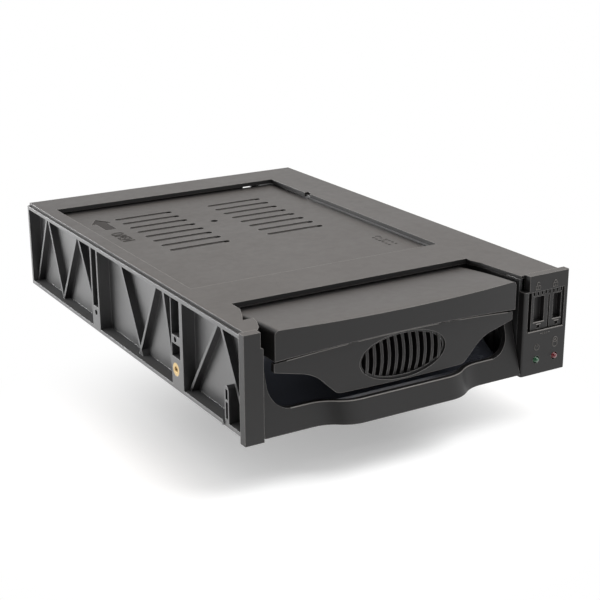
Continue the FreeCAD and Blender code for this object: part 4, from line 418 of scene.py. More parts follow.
# %% Grille beads
def make_bar_tree():
    tree, entry = new_tree("barrel_bars", Count=11, Pitch=0.003, Centre=(0.0, 0.0, 0.0), Half_Width=0.02,
                           Half_Height=0.01, Bulge=0.002, Radius=0.0006)
    first = add_node(tree, "ShaderNodeMath", {0: entry["Count"], 1: -1.0}, operation="ADD")
    first = add_node(tree, "ShaderNodeMath", {0: first.outputs[0], 1: entry["Pitch"]}, operation="MULTIPLY")
    first = add_node(tree, "ShaderNodeMath", {0: first.outputs[0], 1: -0.5}, operation="MULTIPLY")
    start = add_node(tree, "ShaderNodeCombineXYZ", {"X": first.outputs[0]})
    step = add_node(tree, "ShaderNodeCombineXYZ", {"X": entry["Pitch"]})
    places = add_node(tree, "GeometryNodeMeshLine", {
        "Count": entry["Count"], "Start Location": start.outputs[0], "Offset": step.outputs[0]},
                      mode="OFFSET")
    stave = add_node(tree, "GeometryNodeCurvePrimitiveLine",
                     {"Start": (0.0, 0.0, -1.0), "End": (0.0, 0.0, 1.0)})
    stave = add_node(tree, "GeometryNodeResampleCurve", {"Curve": stave.outputs[0], "Count": 17})
    staves = add_node(tree, "GeometryNodeInstanceOnPoints",
                      {"Points": places.outputs[0], "Instance": stave.outputs[0]})
    staves = add_node(tree, "GeometryNodeRealizeInstances", {"Geometry": staves.outputs[0]})
    position = add_node(tree, "GeometryNodeInputPosition").outputs[0]
    here = add_node(tree, "ShaderNodeSeparateXYZ", {0: position})
    across = add_node(tree, "ShaderNodeMath", {0: here.outputs["X"], 1: entry["Half_Width"]},
                      operation="DIVIDE")
    across = add_node(tree, "ShaderNodeMath", {0: across.outputs[0], 1: across.outputs[0]},
                      operation="MULTIPLY")
    rest = add_node(tree, "ShaderNodeMath", {0: 1.0, 1: across.outputs[0]}, operation="SUBTRACT")
    rest = add_node(tree, "ShaderNodeMath", {0: rest.outputs[0]}, operation="SQRT")
    reach = add_node(tree, "ShaderNodeMath", {0: rest.outputs[0], 1: here.outputs["Z"]}, operation="MULTIPLY")
    height = add_node(tree, "ShaderNodeMath", {0: reach.outputs[0], 1: entry["Half_Height"]},
                      operation="MULTIPLY")
    drop = add_node(tree, "ShaderNodeMath", {0: reach.outputs[0], 1: reach.outputs[0]}, operation="MULTIPLY")
    depth = add_node(tree, "ShaderNodeMath", {0: drop.outputs[0], 1: entry["Bulge"]}, operation="MULTIPLY")
    bent = add_node(tree, "ShaderNodeCombineXYZ", {
        "X": here.outputs["X"], "Y": depth.outputs[0], "Z": height.outputs[0]})
    placed = add_node(tree, "ShaderNodeVectorMath", {0: bent.outputs[0], 1: entry["Centre"]}, operation="ADD")
    curves = add_node(tree, "GeometryNodeSetPosition",
                      {"Geometry": staves.outputs[0], "Position": placed.outputs[0]})
    profile = add_node(tree, "GeometryNodeCurvePrimitiveCircle",
                       {"Resolution": 10, "Radius": entry["Radius"]})
    beads = add_node(tree, "GeometryNodeCurveToMesh", {
        "Curve": curves.outputs[0], "Profile Curve": profile.outputs[0], "Fill Caps": True})
    end_tree(tree, entry, beads.outputs[0])
    return tree


grille_low, grille_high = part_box("vent_grille")
grille_centre = (grille_low + grille_high) / 2
BAR_COUNT = 11
BAR_PITCH = 3.27 * MM
BAR_WIDTH = 1.2 * MM
BAR_BULGE = 2.2 * MM
GRILLE_RIM = 0.8 * MM
# The beads' pale edges are a painted highlight from their finish.
grow("grille_beads", make_bar_tree(), "tray", "black_abs", edge_highlight_abs, Count=BAR_COUNT, Pitch=BAR_PITCH,
     Centre=(grille_centre.x, grille_low.y + 0.3 * BAR_WIDTH, grille_centre.z),
     Half_Width=(grille_high.x - grille_low.x) / 2,
     Half_Height=(grille_high.z - grille_low.z) / 2 - GRILLE_RIM,
     Bulge=BAR_BULGE, Radius=BAR_WIDTH / 2)

# %% [markdown]
# ## Screw threads in the brass inserts
# A look into an insert shows the thread that takes the bay screw.  A true helix could be swept,
# but from outside a fine thread looks like a stack of rings, one pitch apart, so a straight row of
# thin rings in each bore does and stays light.

# %% Insert threads
def draw_ring(tree, entry):
    circle = add_node(tree, "GeometryNodeCurvePrimitiveCircle", {"Resolution": 24, "Radius": entry["Radius"]})
    profile = add_node(tree, "GeometryNodeCurvePrimitiveCircle",
                       {"Resolution": 6, "Radius": entry["Thickness"]})
    ring = add_node(tree, "GeometryNodeCurveToMesh",
                    {"Curve": circle.outputs[0], "Profile Curve": profile.outputs[0]})
    return ring.outputs[0], (1.0, 1.0, 1.0)


BORE_RADIUS = 1.25 * MM
THREAD_COUNT = 9
THREAD_PITCH = 0.5 * MM
THREAD_HEIGHT = 0.18 * MM
insert_low, insert_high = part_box("brass_inserts")
insert_y = (insert_low.y + insert_high.y) / 2
insert_z = (insert_low.z + insert_high.z) / 2
ring_row = row_tree("ring_row", draw_ring, turn=(0.0, math.pi / 2, 0.0), Radius=0.001, Thickness=0.0001)
for side, face, inward in (("left", insert_low.x, THREAD_PITCH), ("right", insert_high.x, -THREAD_PITCH)):
    grow(side + "_insert_thread", ring_row, "frame", "brass", turned_brass, Count=THREAD_COUNT,
         Start=(face + 0.6 * inward, insert_y, insert_z), Step=(inward, 0.0, 0.0), Radius=BORE_RADIUS,
         Thickness=THREAD_HEIGHT)

# %% [markdown]
# ## Contacts
# The docking connector carries 25 sprung contacts on each side of its tongue, and the data socket
# has seven.  A contact is a narrow strip with a rounded back, half sunk in the plastic.  A flat strip
# would look printed on, so each is a flattened cylinder, which keeps a glint along its back.

# %% Contact rows
def draw_strip(tree, entry):
    strip = add_node(tree, "GeometryNodeMeshCylinder", {"Vertices": 10, "Radius": 0.5, "Depth": 1.0})
    return strip.outputs[0], entry["Size"]


def contact_pair(name, body, middle, faces, pitch, count, size):
    """Two facing rows of contacts, centred on middle, at the two heights in faces."""
    for side, height in zip(("lower", "upper"), faces):
        grow(f"{side}_{name}", contact_row, body, "brass", gilded_contact, Count=count, Size=size,
             Start=(middle.x - (count - 1) / 2 * pitch, middle.y, height), Step=(pitch, 0.0, 0.0))


contact_row = row_tree("contact_row", draw_strip, turn=(math.pi / 2, 0.0, 0.0),
                       Size=(0.0006, 0.0002, 0.003))
plug_low, plug_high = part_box("docking_plug")
plug_middle = (plug_low + plug_high) / 2
tub_low, tub_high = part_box("tray_tub")
tub_rear = tub_high.y
TONGUE_WALL = 4.0 * MM
PLUG_PITCH = 2.4 * MM
tongue = Vector((plug_middle.x, (tub_rear + plug_high.y) / 2, plug_middle.z))
contact_pair("plug_contacts", "tray", tongue, (tongue.z - TONGUE_WALL / 2, tongue.z + TONGUE_WALL / 2),
             PLUG_PITCH, 25, (1.2 * MM, 0.3 * MM, 3.6 * MM))

DATA_PITCH = 1.27 * MM
DATA_COUNT = 7
DATA_DEPTH = 2.9 * MM
DATA_DROP = 0.6 * MM
data_low, data_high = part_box("data_socket")
data_middle = (data_low + data_high) / 2
grow("data_contacts", contact_row, "frame", "brass", gilded_contact, Count=DATA_COUNT,
     Size=(0.7 * MM, 0.24 * MM, 4.2 * MM), Step=(DATA_PITCH, 0.0, 0.0),
     Start=(data_middle.x - (DATA_COUNT - 1) / 2 * DATA_PITCH, data_high.y - DATA_DEPTH,
            data_middle.z - DATA_DROP))

# %% [markdown]
# ## Floors of the cover's slots
# The cover's slots are shallow pans, open only at their right-hand ends, so that no dust falls
# straight on the drive.  The CAD slots go right through, so each gets a floor: a thin plate just
# under the cover's face, matt like the spark-eroded mould that formed it.  The row of contacts
# would give rounded strips, so this row sets out flat plates.

# %% Slot floors
def draw_plate(tree, entry):
    return add_node(tree, "GeometryNodeMeshCube", {"Size": entry["Size"]}).outputs[0], (1.0, 1.0, 1.0)


VENT_COUNT = 8
VENT_LENGTH = 28.9 * MM
VENT_WIDTH = 3.0 * MM
VENT_PITCH = 8.3 * MM
VENT_HOLE = 2.4 * MM
VENT_OFFSET = 24 * MM
FIRST_VENT = 82 * MM
PAN_DEPTH = 0.34 * MM
PAN_WALL = 0.6 * MM
PAN_GRIP = 0.1 * MM
cover_low, cover_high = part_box("tray_cover")
cover_middle = (cover_low.x + cover_high.x) / 2
plate_row = row_tree("plate_row", draw_plate, Size=(0.026, 0.003, 0.0006))
for side, offset in (("left", -VENT_OFFSET), ("right", VENT_OFFSET)):
    grow(f"{side}_slot_floors", plate_row, "cover", "black_abs", etched_abs, smooth=False, Count=VENT_COUNT,
         Start=(cover_middle + offset - VENT_HOLE / 2, tub_rear - FIRST_VENT,
                cover_high.z - PAN_DEPTH - PAN_WALL / 2),
         Step=(0.0, VENT_PITCH, 0.0), Size=(VENT_LENGTH - VENT_HOLE, VENT_WIDTH + PAN_GRIP, PAN_WALL))

# %% [markdown]
# ## Raised marks
# A mould maker cuts marks into the steel with a ball-nosed cutter, so on the plastic they stand up
# as thin round-backed lines.  Bump in a material would paint them, but a low light needs a real
# edge.  A polyline with a round bevel, half sunk in the face, is that shape.  The marks are plain
# signs: an open and a shut padlock, a row of ticks, a power sign and a disk.  Their grey finish is
# paler than the face, a painted highlight for the light that their round backs catch.  The same
# lines make the lip under the window and the grip lips of the lock knob, in a paler finish still,
# which is a painted highlight too.

# %% Raised lines
def arc(centre_u, centre_v, radius, start, sweep, steps=12):
    """Points along a circle's arc, angles in degrees."""
    turns = [math.radians(start + sweep * i / steps) for i in range(steps + 1)]
    return [(centre_u + radius * math.cos(a), centre_v + radius * math.sin(a)) for a in turns]


def box_line(left, bottom, right, top):
    return [(left, bottom), (right, bottom), (right, top), (left, top), (left, bottom)]


def raised_lines(name, lines, place, thickness, body, finish):
    """Round-backed lines of black ABS, thickness in millimetres.

    place turns a line's marks in millimetres into points in metres.
    """
    curve = bpy.data.curves.new(name, "CURVE")
    curve.dimensions = "3D"
    curve.bevel_depth = thickness * MM / 2
    curve.bevel_resolution = 2
    curve.use_fill_caps = True
    for line in lines:
        spline = curve.splines.new("POLY")
        spline.points.add(len(line) - 1)
        for point, mark in zip(spline.points, line):
            point.co = (*place(*mark), 1.0)
    print(name, "has", len(lines), "lines")
    keep_piece(name, mesh_of(curve, finish), body)


panel_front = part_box("control_panel")[0].y
LIFT = 0.02 * MM
MARK_LINE = 0.34
LIP_LINE = 0.5


def on_panel(u, v):
    """A point on the panel's front, u to the right and v up, in millimetres."""
    return (u * MM, panel_front - LIFT, v * MM)


def padlock(left, bottom, opened):
    """A padlock about three millimetres high: a body with its shackle, shut or lifted."""
    shackle_left = left + 0.5
    rise = bottom + 1.5 + (0.5 if opened else 0.0)
    shackle = arc(shackle_left + 0.65, rise + 0.4, 0.65, 180, -180)
    foot = [] if opened else [(shackle_left + 1.3, bottom + 1.5)]
    return [box_line(left, bottom, left + 2.3, bottom + 1.5), [(shackle_left, bottom + 1.5), *shackle, *foot],
            [(left + 1.15, bottom + 0.5), (left + 1.15, bottom + 1.0)]]


def tick(x):
    """One of the short upright ticks under the window."""
    return [(x, 16.6), (x, 17.6)]


def power_sign(middle, bottom):
    return [arc(middle, bottom, 1.2, 60, -300), [(middle, bottom + 0.2), (middle, bottom + 1.6)]]


def disk_sign(middle, top, bottom, radius=1.1):
    """A drum: a full ring on top, a half ring below, and a side at each end."""
    sides = [[(x, top), (x, bottom)] for x in (middle - radius, middle + radius)]
    return [arc(middle, top, radius, 0, 360), arc(middle, top, 0.35, 0, 360), *sides,
            arc(middle, bottom, radius, 180, 180)]


PADLOCK_BOTTOM = 36.0
panel_lines = padlock(57.0, PADLOCK_BOTTOM, True) + padlock(65.9, PADLOCK_BOTTOM, False)
panel_lines += [tick(x) for x in (61.8, 62.7, 63.6)]
panel_lines += [[(61.2, 17.1), (60.4, 17.1)], [(64.2, 17.1), (65.4, 17.1)]]
panel_lines += power_sign(59.1, 11.5) + disk_sign(68.6, 13.2, 11.2)
raised_lines("panel_marks", panel_lines, on_panel, MARK_LINE, "frame", marked_abs)
raised_lines("window_lip", [[(53.9, 18.5), (72.0, 18.5)]], on_panel, LIP_LINE, "frame", highlight_line_abs)

# %% Lips of the lock knob
slider_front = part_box("lock_slider")[0].y
LIP_SUNK = 0.05 * MM
KNOB_LEFT = 55.8
FIRST_WELL = (KNOB_LEFT + 1.2, 5.4)
SECOND_WELL = (KNOB_LEFT + 11.2, 4.2)


def on_knob(u, v):
    """A point on the lock knob's front, u to the right and v up, in millimetres."""
    return (u * MM, slider_front - LIP_SUNK, v * MM)


lips = [[(left - 0.2, 22.0), (left + width + 0.2, 22.0)] for left, width in (FIRST_WELL, SECOND_WELL)]
lips += [[(left + width / 2 - 1.2, 21.1), (left + width / 2 + 1.2, 21.1)]
         for left, width in (FIRST_WELL, SECOND_WELL)]
# The lips' pale colour is a painted highlight.
raised_lines("knob_lips", lips, on_knob, LIP_LINE, "lock", highlight_line_abs)

# %% [markdown]
# ## Rims with a painted highlight
# The oval's rim, the fascia's top edge and the handle's lip end in a thin rolled edge, which catches a
# thin line of light that draws the front's lines.  A thin round line laid on each edge gives its
# shape, and its pale finish is a painted highlight.  A bevel on the CAD mesh would change it, and a
# thin round line laid on the edge doesn't.  The paths on the handle and the fascia are read from the
# frame's own vertices, so that they can't stray.  The oval's path is an ellipse round the grille's
# middle.

# %% Rolled edges
WALL_NEAR = 1.2
WALL_BEHIND = 1.8


def front_edge(node, low_z, high_z, front_of):
    """The frontmost points of a CAD node between two heights, from left to right, in millimetres.

    A wall has a back edge too.  A point is on the back one if another, at most WALL_NEAR beside it,
    lies more than WALL_BEHIND in front of it.
    """
    best = {}
    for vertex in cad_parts[node].data.vertices:
        x, y, z = vertex.co / MM
        key = round(x, 1)
        if low_z < z < high_z and y < front_of:
            if key not in best or (round(y, 1), -z) < (round(best[key][1], 1), -best[key][2]):
                best[key] = (x, y, z)
    marks = [best[key] for key in sorted(best)]
    return [(x, y, z) for x, y, z in marks
            if not any(abs(other[0] - x) < WALL_NEAR and y - other[1] > WALL_BEHIND for other in marks)]


def in_metres(x, y, z):
    return (x * MM, y * MM, z * MM)


HANDLE_LIP = (9.5, 9.7, -102.0)
FASCIA_TOP = (28.6, 33.0, -103.0)
HOLE_HALVES = (19.5, 9.2)
HOLE_MARGIN = 1.04
oval_x, oval_z = grille_centre.x / MM, grille_centre.z / MM


def outside_hole(x, z):
    """True away from the oval hole, whose own edge points are passed over."""
    return ((x - oval_x) / HOLE_HALVES[0]) ** 2 + ((z - oval_z) / HOLE_HALVES[1]) ** 2 > HOLE_MARGIN


handle_lip = front_edge("bail_handle", *HANDLE_LIP)
fascia_top = [mark for mark in front_edge("vent_fascia", *FASCIA_TOP) if outside_hole(mark[0], mark[2])]
print("lip from", handle_lip[0], "to", handle_lip[-1], "in", len(handle_lip), "points")
print("edge from", fascia_top[0], "to", fascia_top[-1], "in", len(fascia_top), "points")
raised_lines("handle_rim", [handle_lip], in_metres, LIP_LINE, "handle", highlight_line_abs)
raised_lines("fascia_rim", [fascia_top], in_metres, LIP_LINE, "tray", highlight_line_abs)

# %% The oval's rim
RIM_HALVES = (20.7, 9.9)
RIM_RISE = 0.4
RIM_BEHIND = 0.9 * MM
RIM_STEPS = 72


def on_grille(x, z):
    return (x * MM, grille_low.y + RIM_BEHIND, z * MM)


turns = [2 * math.pi * i / RIM_STEPS for i in range(RIM_STEPS + 1)]
oval = [(oval_x + RIM_HALVES[0] * math.cos(turn), oval_z + RIM_RISE + RIM_HALVES[1] * math.sin(turn))
        for turn in turns]
raised_lines("oval_rim", [oval], on_grille, LIP_LINE, "tray", highlight_line_abs)

# %% [markdown]
# ## The word on the cover
# Beside the recessed arrow the cover says OPEN, to be read from the side where a hand pushes it.
# The letters could be drawn as lines like the panel's signs, but a text curve has the even strokes
# of cut letters.  It gets a thin extrusion and a small bevel, as a cutter leaves them, is made a
# mesh and is only then fitted into its place.

# %% Raised word
def raised_word(name, word, box, height, finish):
    """A raised word that fills box, (x0, x1, y0, y1) in metres, on the cover.

    It reads towards -Y with its letters' tops towards +X.
    """
    text = bpy.data.curves.new(name, "FONT")
    text.body = word
    text.extrude = 0.02
    text.bevel_depth = 0.012
    text.bevel_resolution = 1
    text.offset = -0.012
    text.space_character = 1.25
    mesh = mesh_of(text, finish)
    low = [min(vertex.co[axis] for vertex in mesh.vertices) for axis in range(3)]
    high = [max(vertex.co[axis] for vertex in mesh.vertices) for axis in range(3)]
    x0, x1, y0, y1 = box
    for vertex in mesh.vertices:
        along, up, out = [(vertex.co[axis] - low[axis]) / (high[axis] - low[axis]) for axis in range(3)]
        vertex.co = (x0 + up * (x1 - x0), y1 - along * (y1 - y0), cover_high.z + (2 * out - 1) * height)
    print(name, "spells", word)
    keep_piece(name, mesh, "cover", smooth=False)


raised_word("open_word", "OPEN", (-57.4 * MM, -51.6 * MM, 34.6 * MM, 49.2 * MM), 0.2 * MM, matt_abs)

# %% [markdown]
# ## Floor of the arrow
# The arrow is a shallow recess that was etched matt in the mould, so its floor stays dark.  The CAD
# cover has the recess.  Painting its floor would need a second material on a mesh that we mustn't
# change, so a thin arrow-shaped plate, extruded from its outline with bmesh, lies in it.

# %% Arrow floor
ARROW_FROM_WALL = 12.2 * MM
TIP_FROM_REAR = 19.0 * MM
HEAD_HALF = 4.9 * MM
HEAD_LENGTH = 7.4 * MM
SHAFT_HALF = 2.5 * MM
ARROW_LENGTH = 18.9 * MM
FLOOR_DEPTH = 0.2 * MM
FLOOR_WALL = 0.4 * MM

arrow_x = tub_low.x + ARROW_FROM_WALL
tip = tub_rear - TIP_FROM_REAR
half_outline = [(HEAD_HALF, HEAD_LENGTH), (SHAFT_HALF, HEAD_LENGTH), (SHAFT_HALF, ARROW_LENGTH)]
left_side = [(arrow_x - half, tip - back) for half, back in half_outline]
right_side = [(arrow_x + half, tip - back) for half, back in reversed(half_outline)]
arrow_outline = [(arrow_x, tip), *left_side, *right_side]
sculpt = bmesh.new()
face = sculpt.faces.new([sculpt.verts.new((x, y, cover_high.z - FLOOR_DEPTH)) for x, y in arrow_outline])
grown = bmesh.ops.extrude_face_region(sculpt, geom=[face])["geom"]
lower = [part for part in grown if isinstance(part, bmesh.types.BMVert)]
bmesh.ops.translate(sculpt, verts=lower, vec=(0.0, 0.0, -FLOOR_WALL))
arrow_mesh = mesh_from(sculpt, "arrow_floor")
arrow_mesh.materials.append(etched_abs)
keep_piece("arrow_floor", arrow_mesh, "cover", smooth=False)
print("arrow floor", len(arrow_outline), "corners")

# %% [markdown]
# ## The mould's date
# Two rows of dots record the mould's year and month.  The toolmaker drills one more pit each
# period, and each pit is a small raised dot on the plastic.  A toolmaker's sign stands beside them.
# Dots could be lines too, but a row of flattened balls, set out like the contacts, needs fewer
# faces.  The sign is raised lines.

# %% Date dots
def draw_dot(tree, entry):
    dot = add_node(tree, "GeometryNodeMeshUVSphere", {"Segments": 12, "Rings": 8, "Radius": entry["Radius"]})
    return dot.outputs[0], (1.0, 1.0, 0.4)


DOT_RADIUS = 0.75 * MM
DOT_PITCH = 2.5 * MM
dot_row = row_tree("dot_row", draw_dot, Radius=0.0005)
for name, x, count in (("year_dots", 39.2, 6), ("month_dots", 42.6, 4)):
    grow(name, dot_row, "cover", "black_abs", textured_abs, Count=count, Radius=DOT_RADIUS,
         Start=(x * MM, -30.0 * MM, cover_high.z), Step=(0.0, DOT_PITCH, 0.0))


def on_cover(u, v):
    """A point of the toolmaker's sign on the cover's face, in millimetres from its corner."""
    return ((39.6 + u) * MM, (v - 23.4) * MM, cover_high.z)


sign = [[(0.0, 0.0), (3.4, 0.0)], [(1.7, 0.0), (1.7, 3.0)], arc(1.7, 5.4, 1.6, -90, 270)]
raised_lines("mould_date", sign, on_cover, 0.4, "cover", textured_abs)

# %% [markdown]
# ## Cross recesses
# The four board screws take a cross-head driver.  Each CAD screw has a plain head.  A cross laid on
# top would be no recess, and a dark cross in the material would look printed.  So we copy the
# screws, sink tapered crosses in their faces with a Boolean, and let the copy stand for them.

# %% The cutter for the crosses
CROSS_REACH = 1.3 * MM
CROSS_DEPTH = 0.9 * MM
CUTTER_LEAD = 0.2 * MM
MOUTH = (1.15, 0.2)
BOTTOM = (0.35, 0.12)
BLOCK_FACES = ((0, 1, 2, 3), (7, 6, 5, 4), (0, 4, 5, 1), (1, 5, 6, 2), (2, 6, 7, 3), (3, 7, 4, 0))


def cross_cutter(centres, front):
    """Crosses that taper inwards from -Y, as one closed block per arm.

    MOUTH and BOTTOM give an arm's half length and half width as shares of CROSS_REACH.
    """
    sculpt = bmesh.new()
    for x, z in centres:
        for upright in (False, True):
            ring = []
            for y, (long, thin) in ((front - CUTTER_LEAD, MOUTH), (front + CROSS_DEPTH, BOTTOM)):
                for u, v in ((-long, -thin), (long, -thin), (long, thin), (-long, thin)):
                    du, dv = (-v, u) if upright else (u, v)
                    ring.append(sculpt.verts.new((x + du * CROSS_REACH, y, z + dv * CROSS_REACH)))
            for corners in BLOCK_FACES:
                sculpt.faces.new([ring[corner] for corner in corners])
    cutter = bpy.data.objects.new("cross_cutter", mesh_from(sculpt, "cross_cutter"))
    bpy.context.scene.collection.objects.link(cutter)
    return cutter

# %% Screws with a cross
def merged_copy(node):
    """A copy of a CAD mesh with its loose triangles joined, as a Boolean needs."""
    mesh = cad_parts[node].data.copy()
    sculpt = bmesh.new()
    sculpt.from_mesh(mesh)
    bmesh.ops.remove_doubles(sculpt, verts=sculpt.verts, dist=0.001 * MM)
    sculpt.to_mesh(mesh)
    sculpt.free()
    return mesh


def crossed_screws(name, node, body):
    """A pair of screws with a cross in each head, in place of a CAD node."""
    low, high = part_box(node)
    head = (high.z - low.z) / 2
    middle = (low.z + high.z) / 2
    cutter = cross_cutter([(low.x + head, middle), (high.x - head, middle)], low.y)
    blank = bpy.data.objects.new(name + "_blank", merged_copy(node))
    bpy.context.scene.collection.objects.link(blank)
    sink = blank.modifiers.new("sink", "BOOLEAN")
    sink.operation = "DIFFERENCE"
    sink.solver = "EXACT"
    sink.use_self = True
    sink.object = cutter
    cut = bpy.data.meshes.new_from_object(blank.evaluated_get(bpy.context.evaluated_depsgraph_get()))
    bpy.data.objects.remove(blank)
    bpy.data.objects.remove(cutter)
    cut.materials.clear()
    cut.materials.append(zinc_steel)
    print(name, "has", len(cut.polygons), "faces")
    piece = keep_piece(name, cut, body, smooth=False)
    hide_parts(node)


crossed_screws("crossed_backplane_screws", "backplane_screws", "frame")
crossed_screws("crossed_adapter_screws", "adapter_screws", "tray")

# %% [markdown]
# ## Lamp crowns
# Each lamp's lens has a domed crown, which gathers the light and shows one bright spot.  A dome
# could be a profile spun round its axis.  A ball flattened along the lamp's axis and half sunk in
# the lens gives the same crown, with closed poles, so bmesh makes that.

# %% Domes on the lamps
CROWN_SHARE = 0.55
CROWN_FLATTEN = 0.6


def lamp_dome(name, node, finish):
    """A crown CROWN_SHARE as wide as the lens, with its middle on the lens's front."""
    low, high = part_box(node)
    middle = (low + high) / 2
    sculpt = bmesh.new()
    bmesh.ops.create_uvsphere(sculpt, u_segments=32, v_segments=16, radius=CROWN_SHARE * (high.x - low.x) / 2)
    for vertex in sculpt.verts:
        vertex.co = (middle.x + vertex.co.x, low.y + CROWN_FLATTEN * vertex.co.z, middle.z + vertex.co.y)
    mesh = mesh_from(sculpt, name)
    mesh.materials.append(finish)
    print(name, "has", len(mesh.polygons), "faces")
    keep_piece(name, mesh, "frame")


lamp_dome("green_dome", "power_led", green_lens)
lamp_dome("red_dome", "activity_led", red_lens)

# %% [markdown]
# ## Parts on the boards
# Bare boards carry small surface-mounted parts, which are too many to place by hand and follow no
# pattern that matters.  The tree scatters them on a board's face from a fixed seed: it sets out a
# grid, drops some of the places, and gives each of the rest its own size.  Ceramic capacitors are
# tan, chip packages are black.

# %% Surface-mounted parts
def make_scatter_tree():
    tree, entry = new_tree("mounted_parts", Centre=(0.0, 0.0, 0.0), Width=0.05, Height=0.01, Columns=9,
                           Rows=3, Size=(0.002, 0.001, 0.0012), Kept=0.5, Seed=7)
    grid = add_node(tree, "GeometryNodeMeshGrid", {
        "Size X": entry["Width"], "Size Y": entry["Height"], "Vertices X": entry["Columns"],
        "Vertices Y": entry["Rows"]})
    stood = add_node(tree, "GeometryNodeTransform", {
        "Geometry": grid.outputs[0], "Rotation": (math.pi / 2, 0.0, 0.0), "Translation": entry["Centre"]})
    chance = add_node(tree, "FunctionNodeRandomValue", {"Seed": entry["Seed"]}, data_type="FLOAT")
    kept = add_node(tree, "ShaderNodeMath", {0: chance.outputs[1], 1: entry["Kept"]}, operation="LESS_THAN")
    part = add_node(tree, "GeometryNodeMeshCube", {"Size": entry["Size"]})
    spread = add_node(tree, "FunctionNodeRandomValue", {0: (0.6, 1.0, 0.6), 1: (1.3, 1.0, 1.2), "Seed": 3},
                      data_type="FLOAT_VECTOR")
    parts = add_node(tree, "GeometryNodeInstanceOnPoints", {
        "Points": stood.outputs[0], "Selection": kept.outputs[0], "Instance": part.outputs[0],
        "Scale": spread.outputs[0]})
    end_tree(tree, entry, parts.outputs[0])
    return tree


ceramic = filled_nylon("ceramic_capacitor", "#a58a63", "#8c7350", 0.5)
mounted_parts = make_scatter_tree()
COLUMNS = 13
ROWS = 3
WIDTH_SHARE = 0.72
HEIGHT_SHARE = 0.6
ADAPTER_RISE = 5.0 * MM
CAPACITOR = (1.6 * MM, 1.0 * MM, 0.9 * MM)
CHIP = (3.0 * MM, 1.2 * MM, 2.2 * MM)
for name, body, rise in (("backplane", "frame", 0.0), ("adapter", "tray", ADAPTER_RISE)):
    low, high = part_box(name + "_board")
    middle = (low + high) / 2
    for kind, finish, size, seed, kept, slot in (
            ("capacitors", ceramic, CAPACITOR, 7, 0.45, "circuit_board"),
            ("chips", black_nylon, CHIP, 21, 0.2, "connector_plastic")):
        grow(f"{name}_{kind}", mounted_parts, body, slot, finish, smooth=False, Size=size,
             Centre=(middle.x, low.y, middle.z + rise), Columns=COLUMNS, Rows=ROWS, Seed=seed, Kept=kept,
             Width=(high.x - low.x) * WIDTH_SHARE, Height=(high.z - low.z) * HEIGHT_SHARE)

# %% [markdown]
# ## World and floor
# The rack stands on a white sweep among white walls.  Black plastic is lit by what it reflects, so
# these surroundings matter more than the lamps.  An HDR picture could give them, but here plain white
# is all that is needed: the world is white to the camera and to glossy rays, and dimmer to diffuse
# light.  At the left stands a darker wall, which only glossy rays see, so that the side's ledges
# stay dark.  The floor melts into white away from the rack, but keeps the rack's shadow.

# %% The white world
FLOOR_Z = -0.02
SHADOW_CENTRE = (-0.035, -0.07, FLOOR_Z)
SHADOW_FROM = 0.03
SHADOW_TO = 0.14
WORLD_DIFFUSE = 0.55
WALL_TONE = 0.2


def white_to_the_eye(tree, strength_elsewhere):
    """Emission or background strength: 1 for camera, glossy and transmission rays."""
    path = add_node(tree, "ShaderNodeLightPath")
    seen = add_node(tree, "ShaderNodeMath",
                    {0: path.outputs["Is Camera Ray"], 1: path.outputs["Is Glossy Ray"]}, operation="MAXIMUM")
    seen = add_node(tree, "ShaderNodeMath",
                    {0: seen.outputs[0], 1: path.outputs["Is Transmission Ray"]}, operation="MAXIMUM")
    return add_node(tree, "ShaderNodeMapRange",
                    {"Value": seen.outputs[0], "To Min": strength_elsewhere, "To Max": 1.0})


world = bpy.data.worlds.new("white_studio")
bpy.context.scene.world = world
world.use_nodes = True
studio = world.node_tree
studio.nodes.clear()
world_strength = white_to_the_eye(studio, WORLD_DIFFUSE)
direction = add_node(studio, "ShaderNodeTexCoord").outputs["Generated"]
leftward = add_node(studio, "ShaderNodeVectorMath", {0: direction, 1: (-1.0, 0.0, 0.0)},
                    operation="DOT_PRODUCT")
wall = add_node(studio, "ShaderNodeMapRange", {
    "Value": leftward.outputs["Value"], "From Min": 0.2, "From Max": 0.45,
    "To Min": 1.0, "To Max": WALL_TONE})
glossy = add_node(studio, "ShaderNodeLightPath").outputs["Is Glossy Ray"]
dimmed = add_node(studio, "ShaderNodeMix", {0: glossy, 2: 1.0, 3: wall.outputs[0]}, data_type="FLOAT")
strength = add_node(studio, "ShaderNodeMath", {0: world_strength.outputs[0], 1: dimmed.outputs[0]},
                    operation="MULTIPLY")
background = add_node(studio, "ShaderNodeBackground",
                      {"Color": linear("#ffffff"), "Strength": strength.outputs[0]})
add_node(studio, "ShaderNodeOutputWorld", {"Surface": background.outputs[0]})
print("world has", len(studio.nodes), "nodes")

# %% The floor
FLOOR_REACH = 4.0
FLOOR_LIFT = 0.2


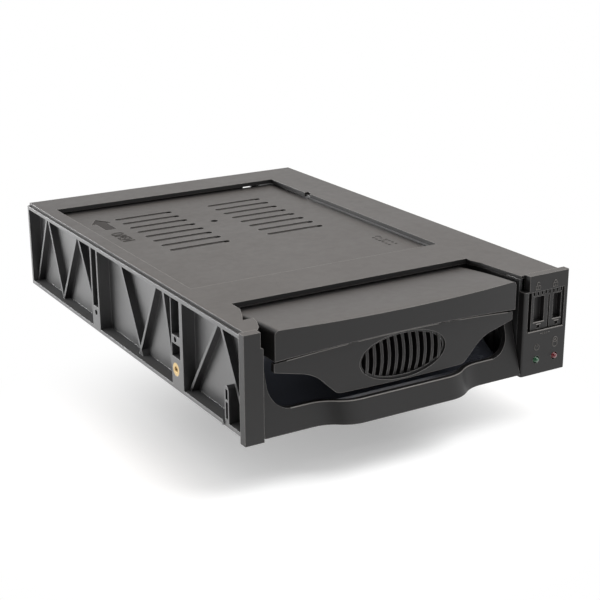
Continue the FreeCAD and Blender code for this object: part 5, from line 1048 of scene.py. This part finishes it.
def make_floor():
    """White paper near the rack, lifted a little, that turns to even white further away."""
    mesh = bpy.data.meshes.new("studio_floor")
    corners = [(x * FLOOR_REACH, y * FLOOR_REACH, FLOOR_Z) for x, y in ((-1, -1), (1, -1), (1, 1), (-1, 1))]
    mesh.from_pydata(corners, [], [(0, 1, 2, 3)])
    floor = bpy.data.objects.new("studio_floor", mesh)
    bpy.context.scene.collection.objects.link(floor)
    material, tree = new_material("white_sweep")
    place = add_node(tree, "ShaderNodeTexCoord").outputs["Object"]
    distance = add_node(tree, "ShaderNodeVectorMath", {0: place, 1: SHADOW_CENTRE}, operation="DISTANCE")
    fade = add_node(tree, "ShaderNodeMapRange", {
        "Value": distance.outputs["Value"], "From Min": SHADOW_FROM, "From Max": SHADOW_TO},
                    interpolation_type="SMOOTHSTEP")
    paper = add_node(tree, "ShaderNodeBsdfDiffuse", {"Color": linear("#f4f4f4")})
    lift = add_node(tree, "ShaderNodeEmission", {"Color": linear("#ffffff"), "Strength": FLOOR_LIFT})
    near = add_node(tree, "ShaderNodeAddShader", {0: paper.outputs[0], 1: lift.outputs[0]})
    glow = add_node(tree, "ShaderNodeEmission", {"Color": linear("#ffffff"), "Strength": 1.0})
    blend = add_node(tree, "ShaderNodeMixShader",
                     {0: fade.outputs[0], 1: near.outputs[0], 2: glow.outputs[0]})
    finish_material(tree, blend)
    mesh.materials.append(material)
    print("floor reaches", FLOOR_REACH, "m each way, and its shadow fades out at", SHADOW_TO, "m")


make_floor()

# %% [markdown]
# ## Lamps
# Large soft boxes light the rack.  One overhead and behind lifts the top, one low at the left rear
# gives the side walls their pale sheen, and one above the right front draws the thin bright line
# along the front edges.  Spots or a sun would give hard glints on satin plastic, and large area
# lamps give the wide soft ones that it has.

# %% Soft boxes
CENTRE = Vector((0.0, 0.0, 0.02))


def soft_box(name, at, width, height, power, colour="#ffffff"):
    """An area lamp that faces the rack."""
    lamp = bpy.data.lights.new(name, "AREA")
    lamp.shape = "RECTANGLE"
    lamp.size = width
    lamp.size_y = height
    lamp.energy = power
    lamp.color = linear(colour)[:3]
    holder = bpy.data.objects.new(name, lamp)
    holder.location = at
    holder.rotation_euler = (CENTRE - Vector(at)).to_track_quat("-Z", "Y").to_euler()
    bpy.context.scene.collection.objects.link(holder)
    print(name, "gives", power, "W")


soft_box("overhead_box", (0.45, 0.5, 1.0), 1.1, 1.1, 8.0, "#ffeee0")
soft_box("left_rear_strip", (-0.8, 0.9, 0.1), 1.4, 0.3, 26.0)
soft_box("front_edge_box", (0.55, -0.35, 1.1), 0.9, 0.9, 12.0)

# %% [markdown]
# ## Camera
# The rack is seen from its left front and a little above, as in a catalogue.  The camera could be
# aimed with a constraint, but plain angles keep it where it was put.

# %% Camera
CAMERA_AT = (-0.2758, -0.47825, 0.1976)
LENS_MM = 78.74
LOOK_DOWN = math.radians(18.61)
LOOK_RIGHT = math.radians(31.03)
ROLL = math.radians(-0.21)
camera_data = bpy.data.cameras.new("camera")
camera_data.sensor_width = 36.0
camera_data.lens = LENS_MM
camera = bpy.data.objects.new("camera", camera_data)
camera.location = CAMERA_AT
aim = Euler((math.pi / 2 - LOOK_DOWN, 0.0, -LOOK_RIGHT)).to_matrix()
camera.rotation_euler = (aim @ Matrix.Rotation(ROLL, 3, "Z")).to_euler()
bpy.context.scene.collection.objects.link(camera)
bpy.context.scene.camera = camera
bpy.context.scene.view_settings.view_transform = "Standard"
print("camera with a", LENS_MM, "mm lens at", CAMERA_AT)
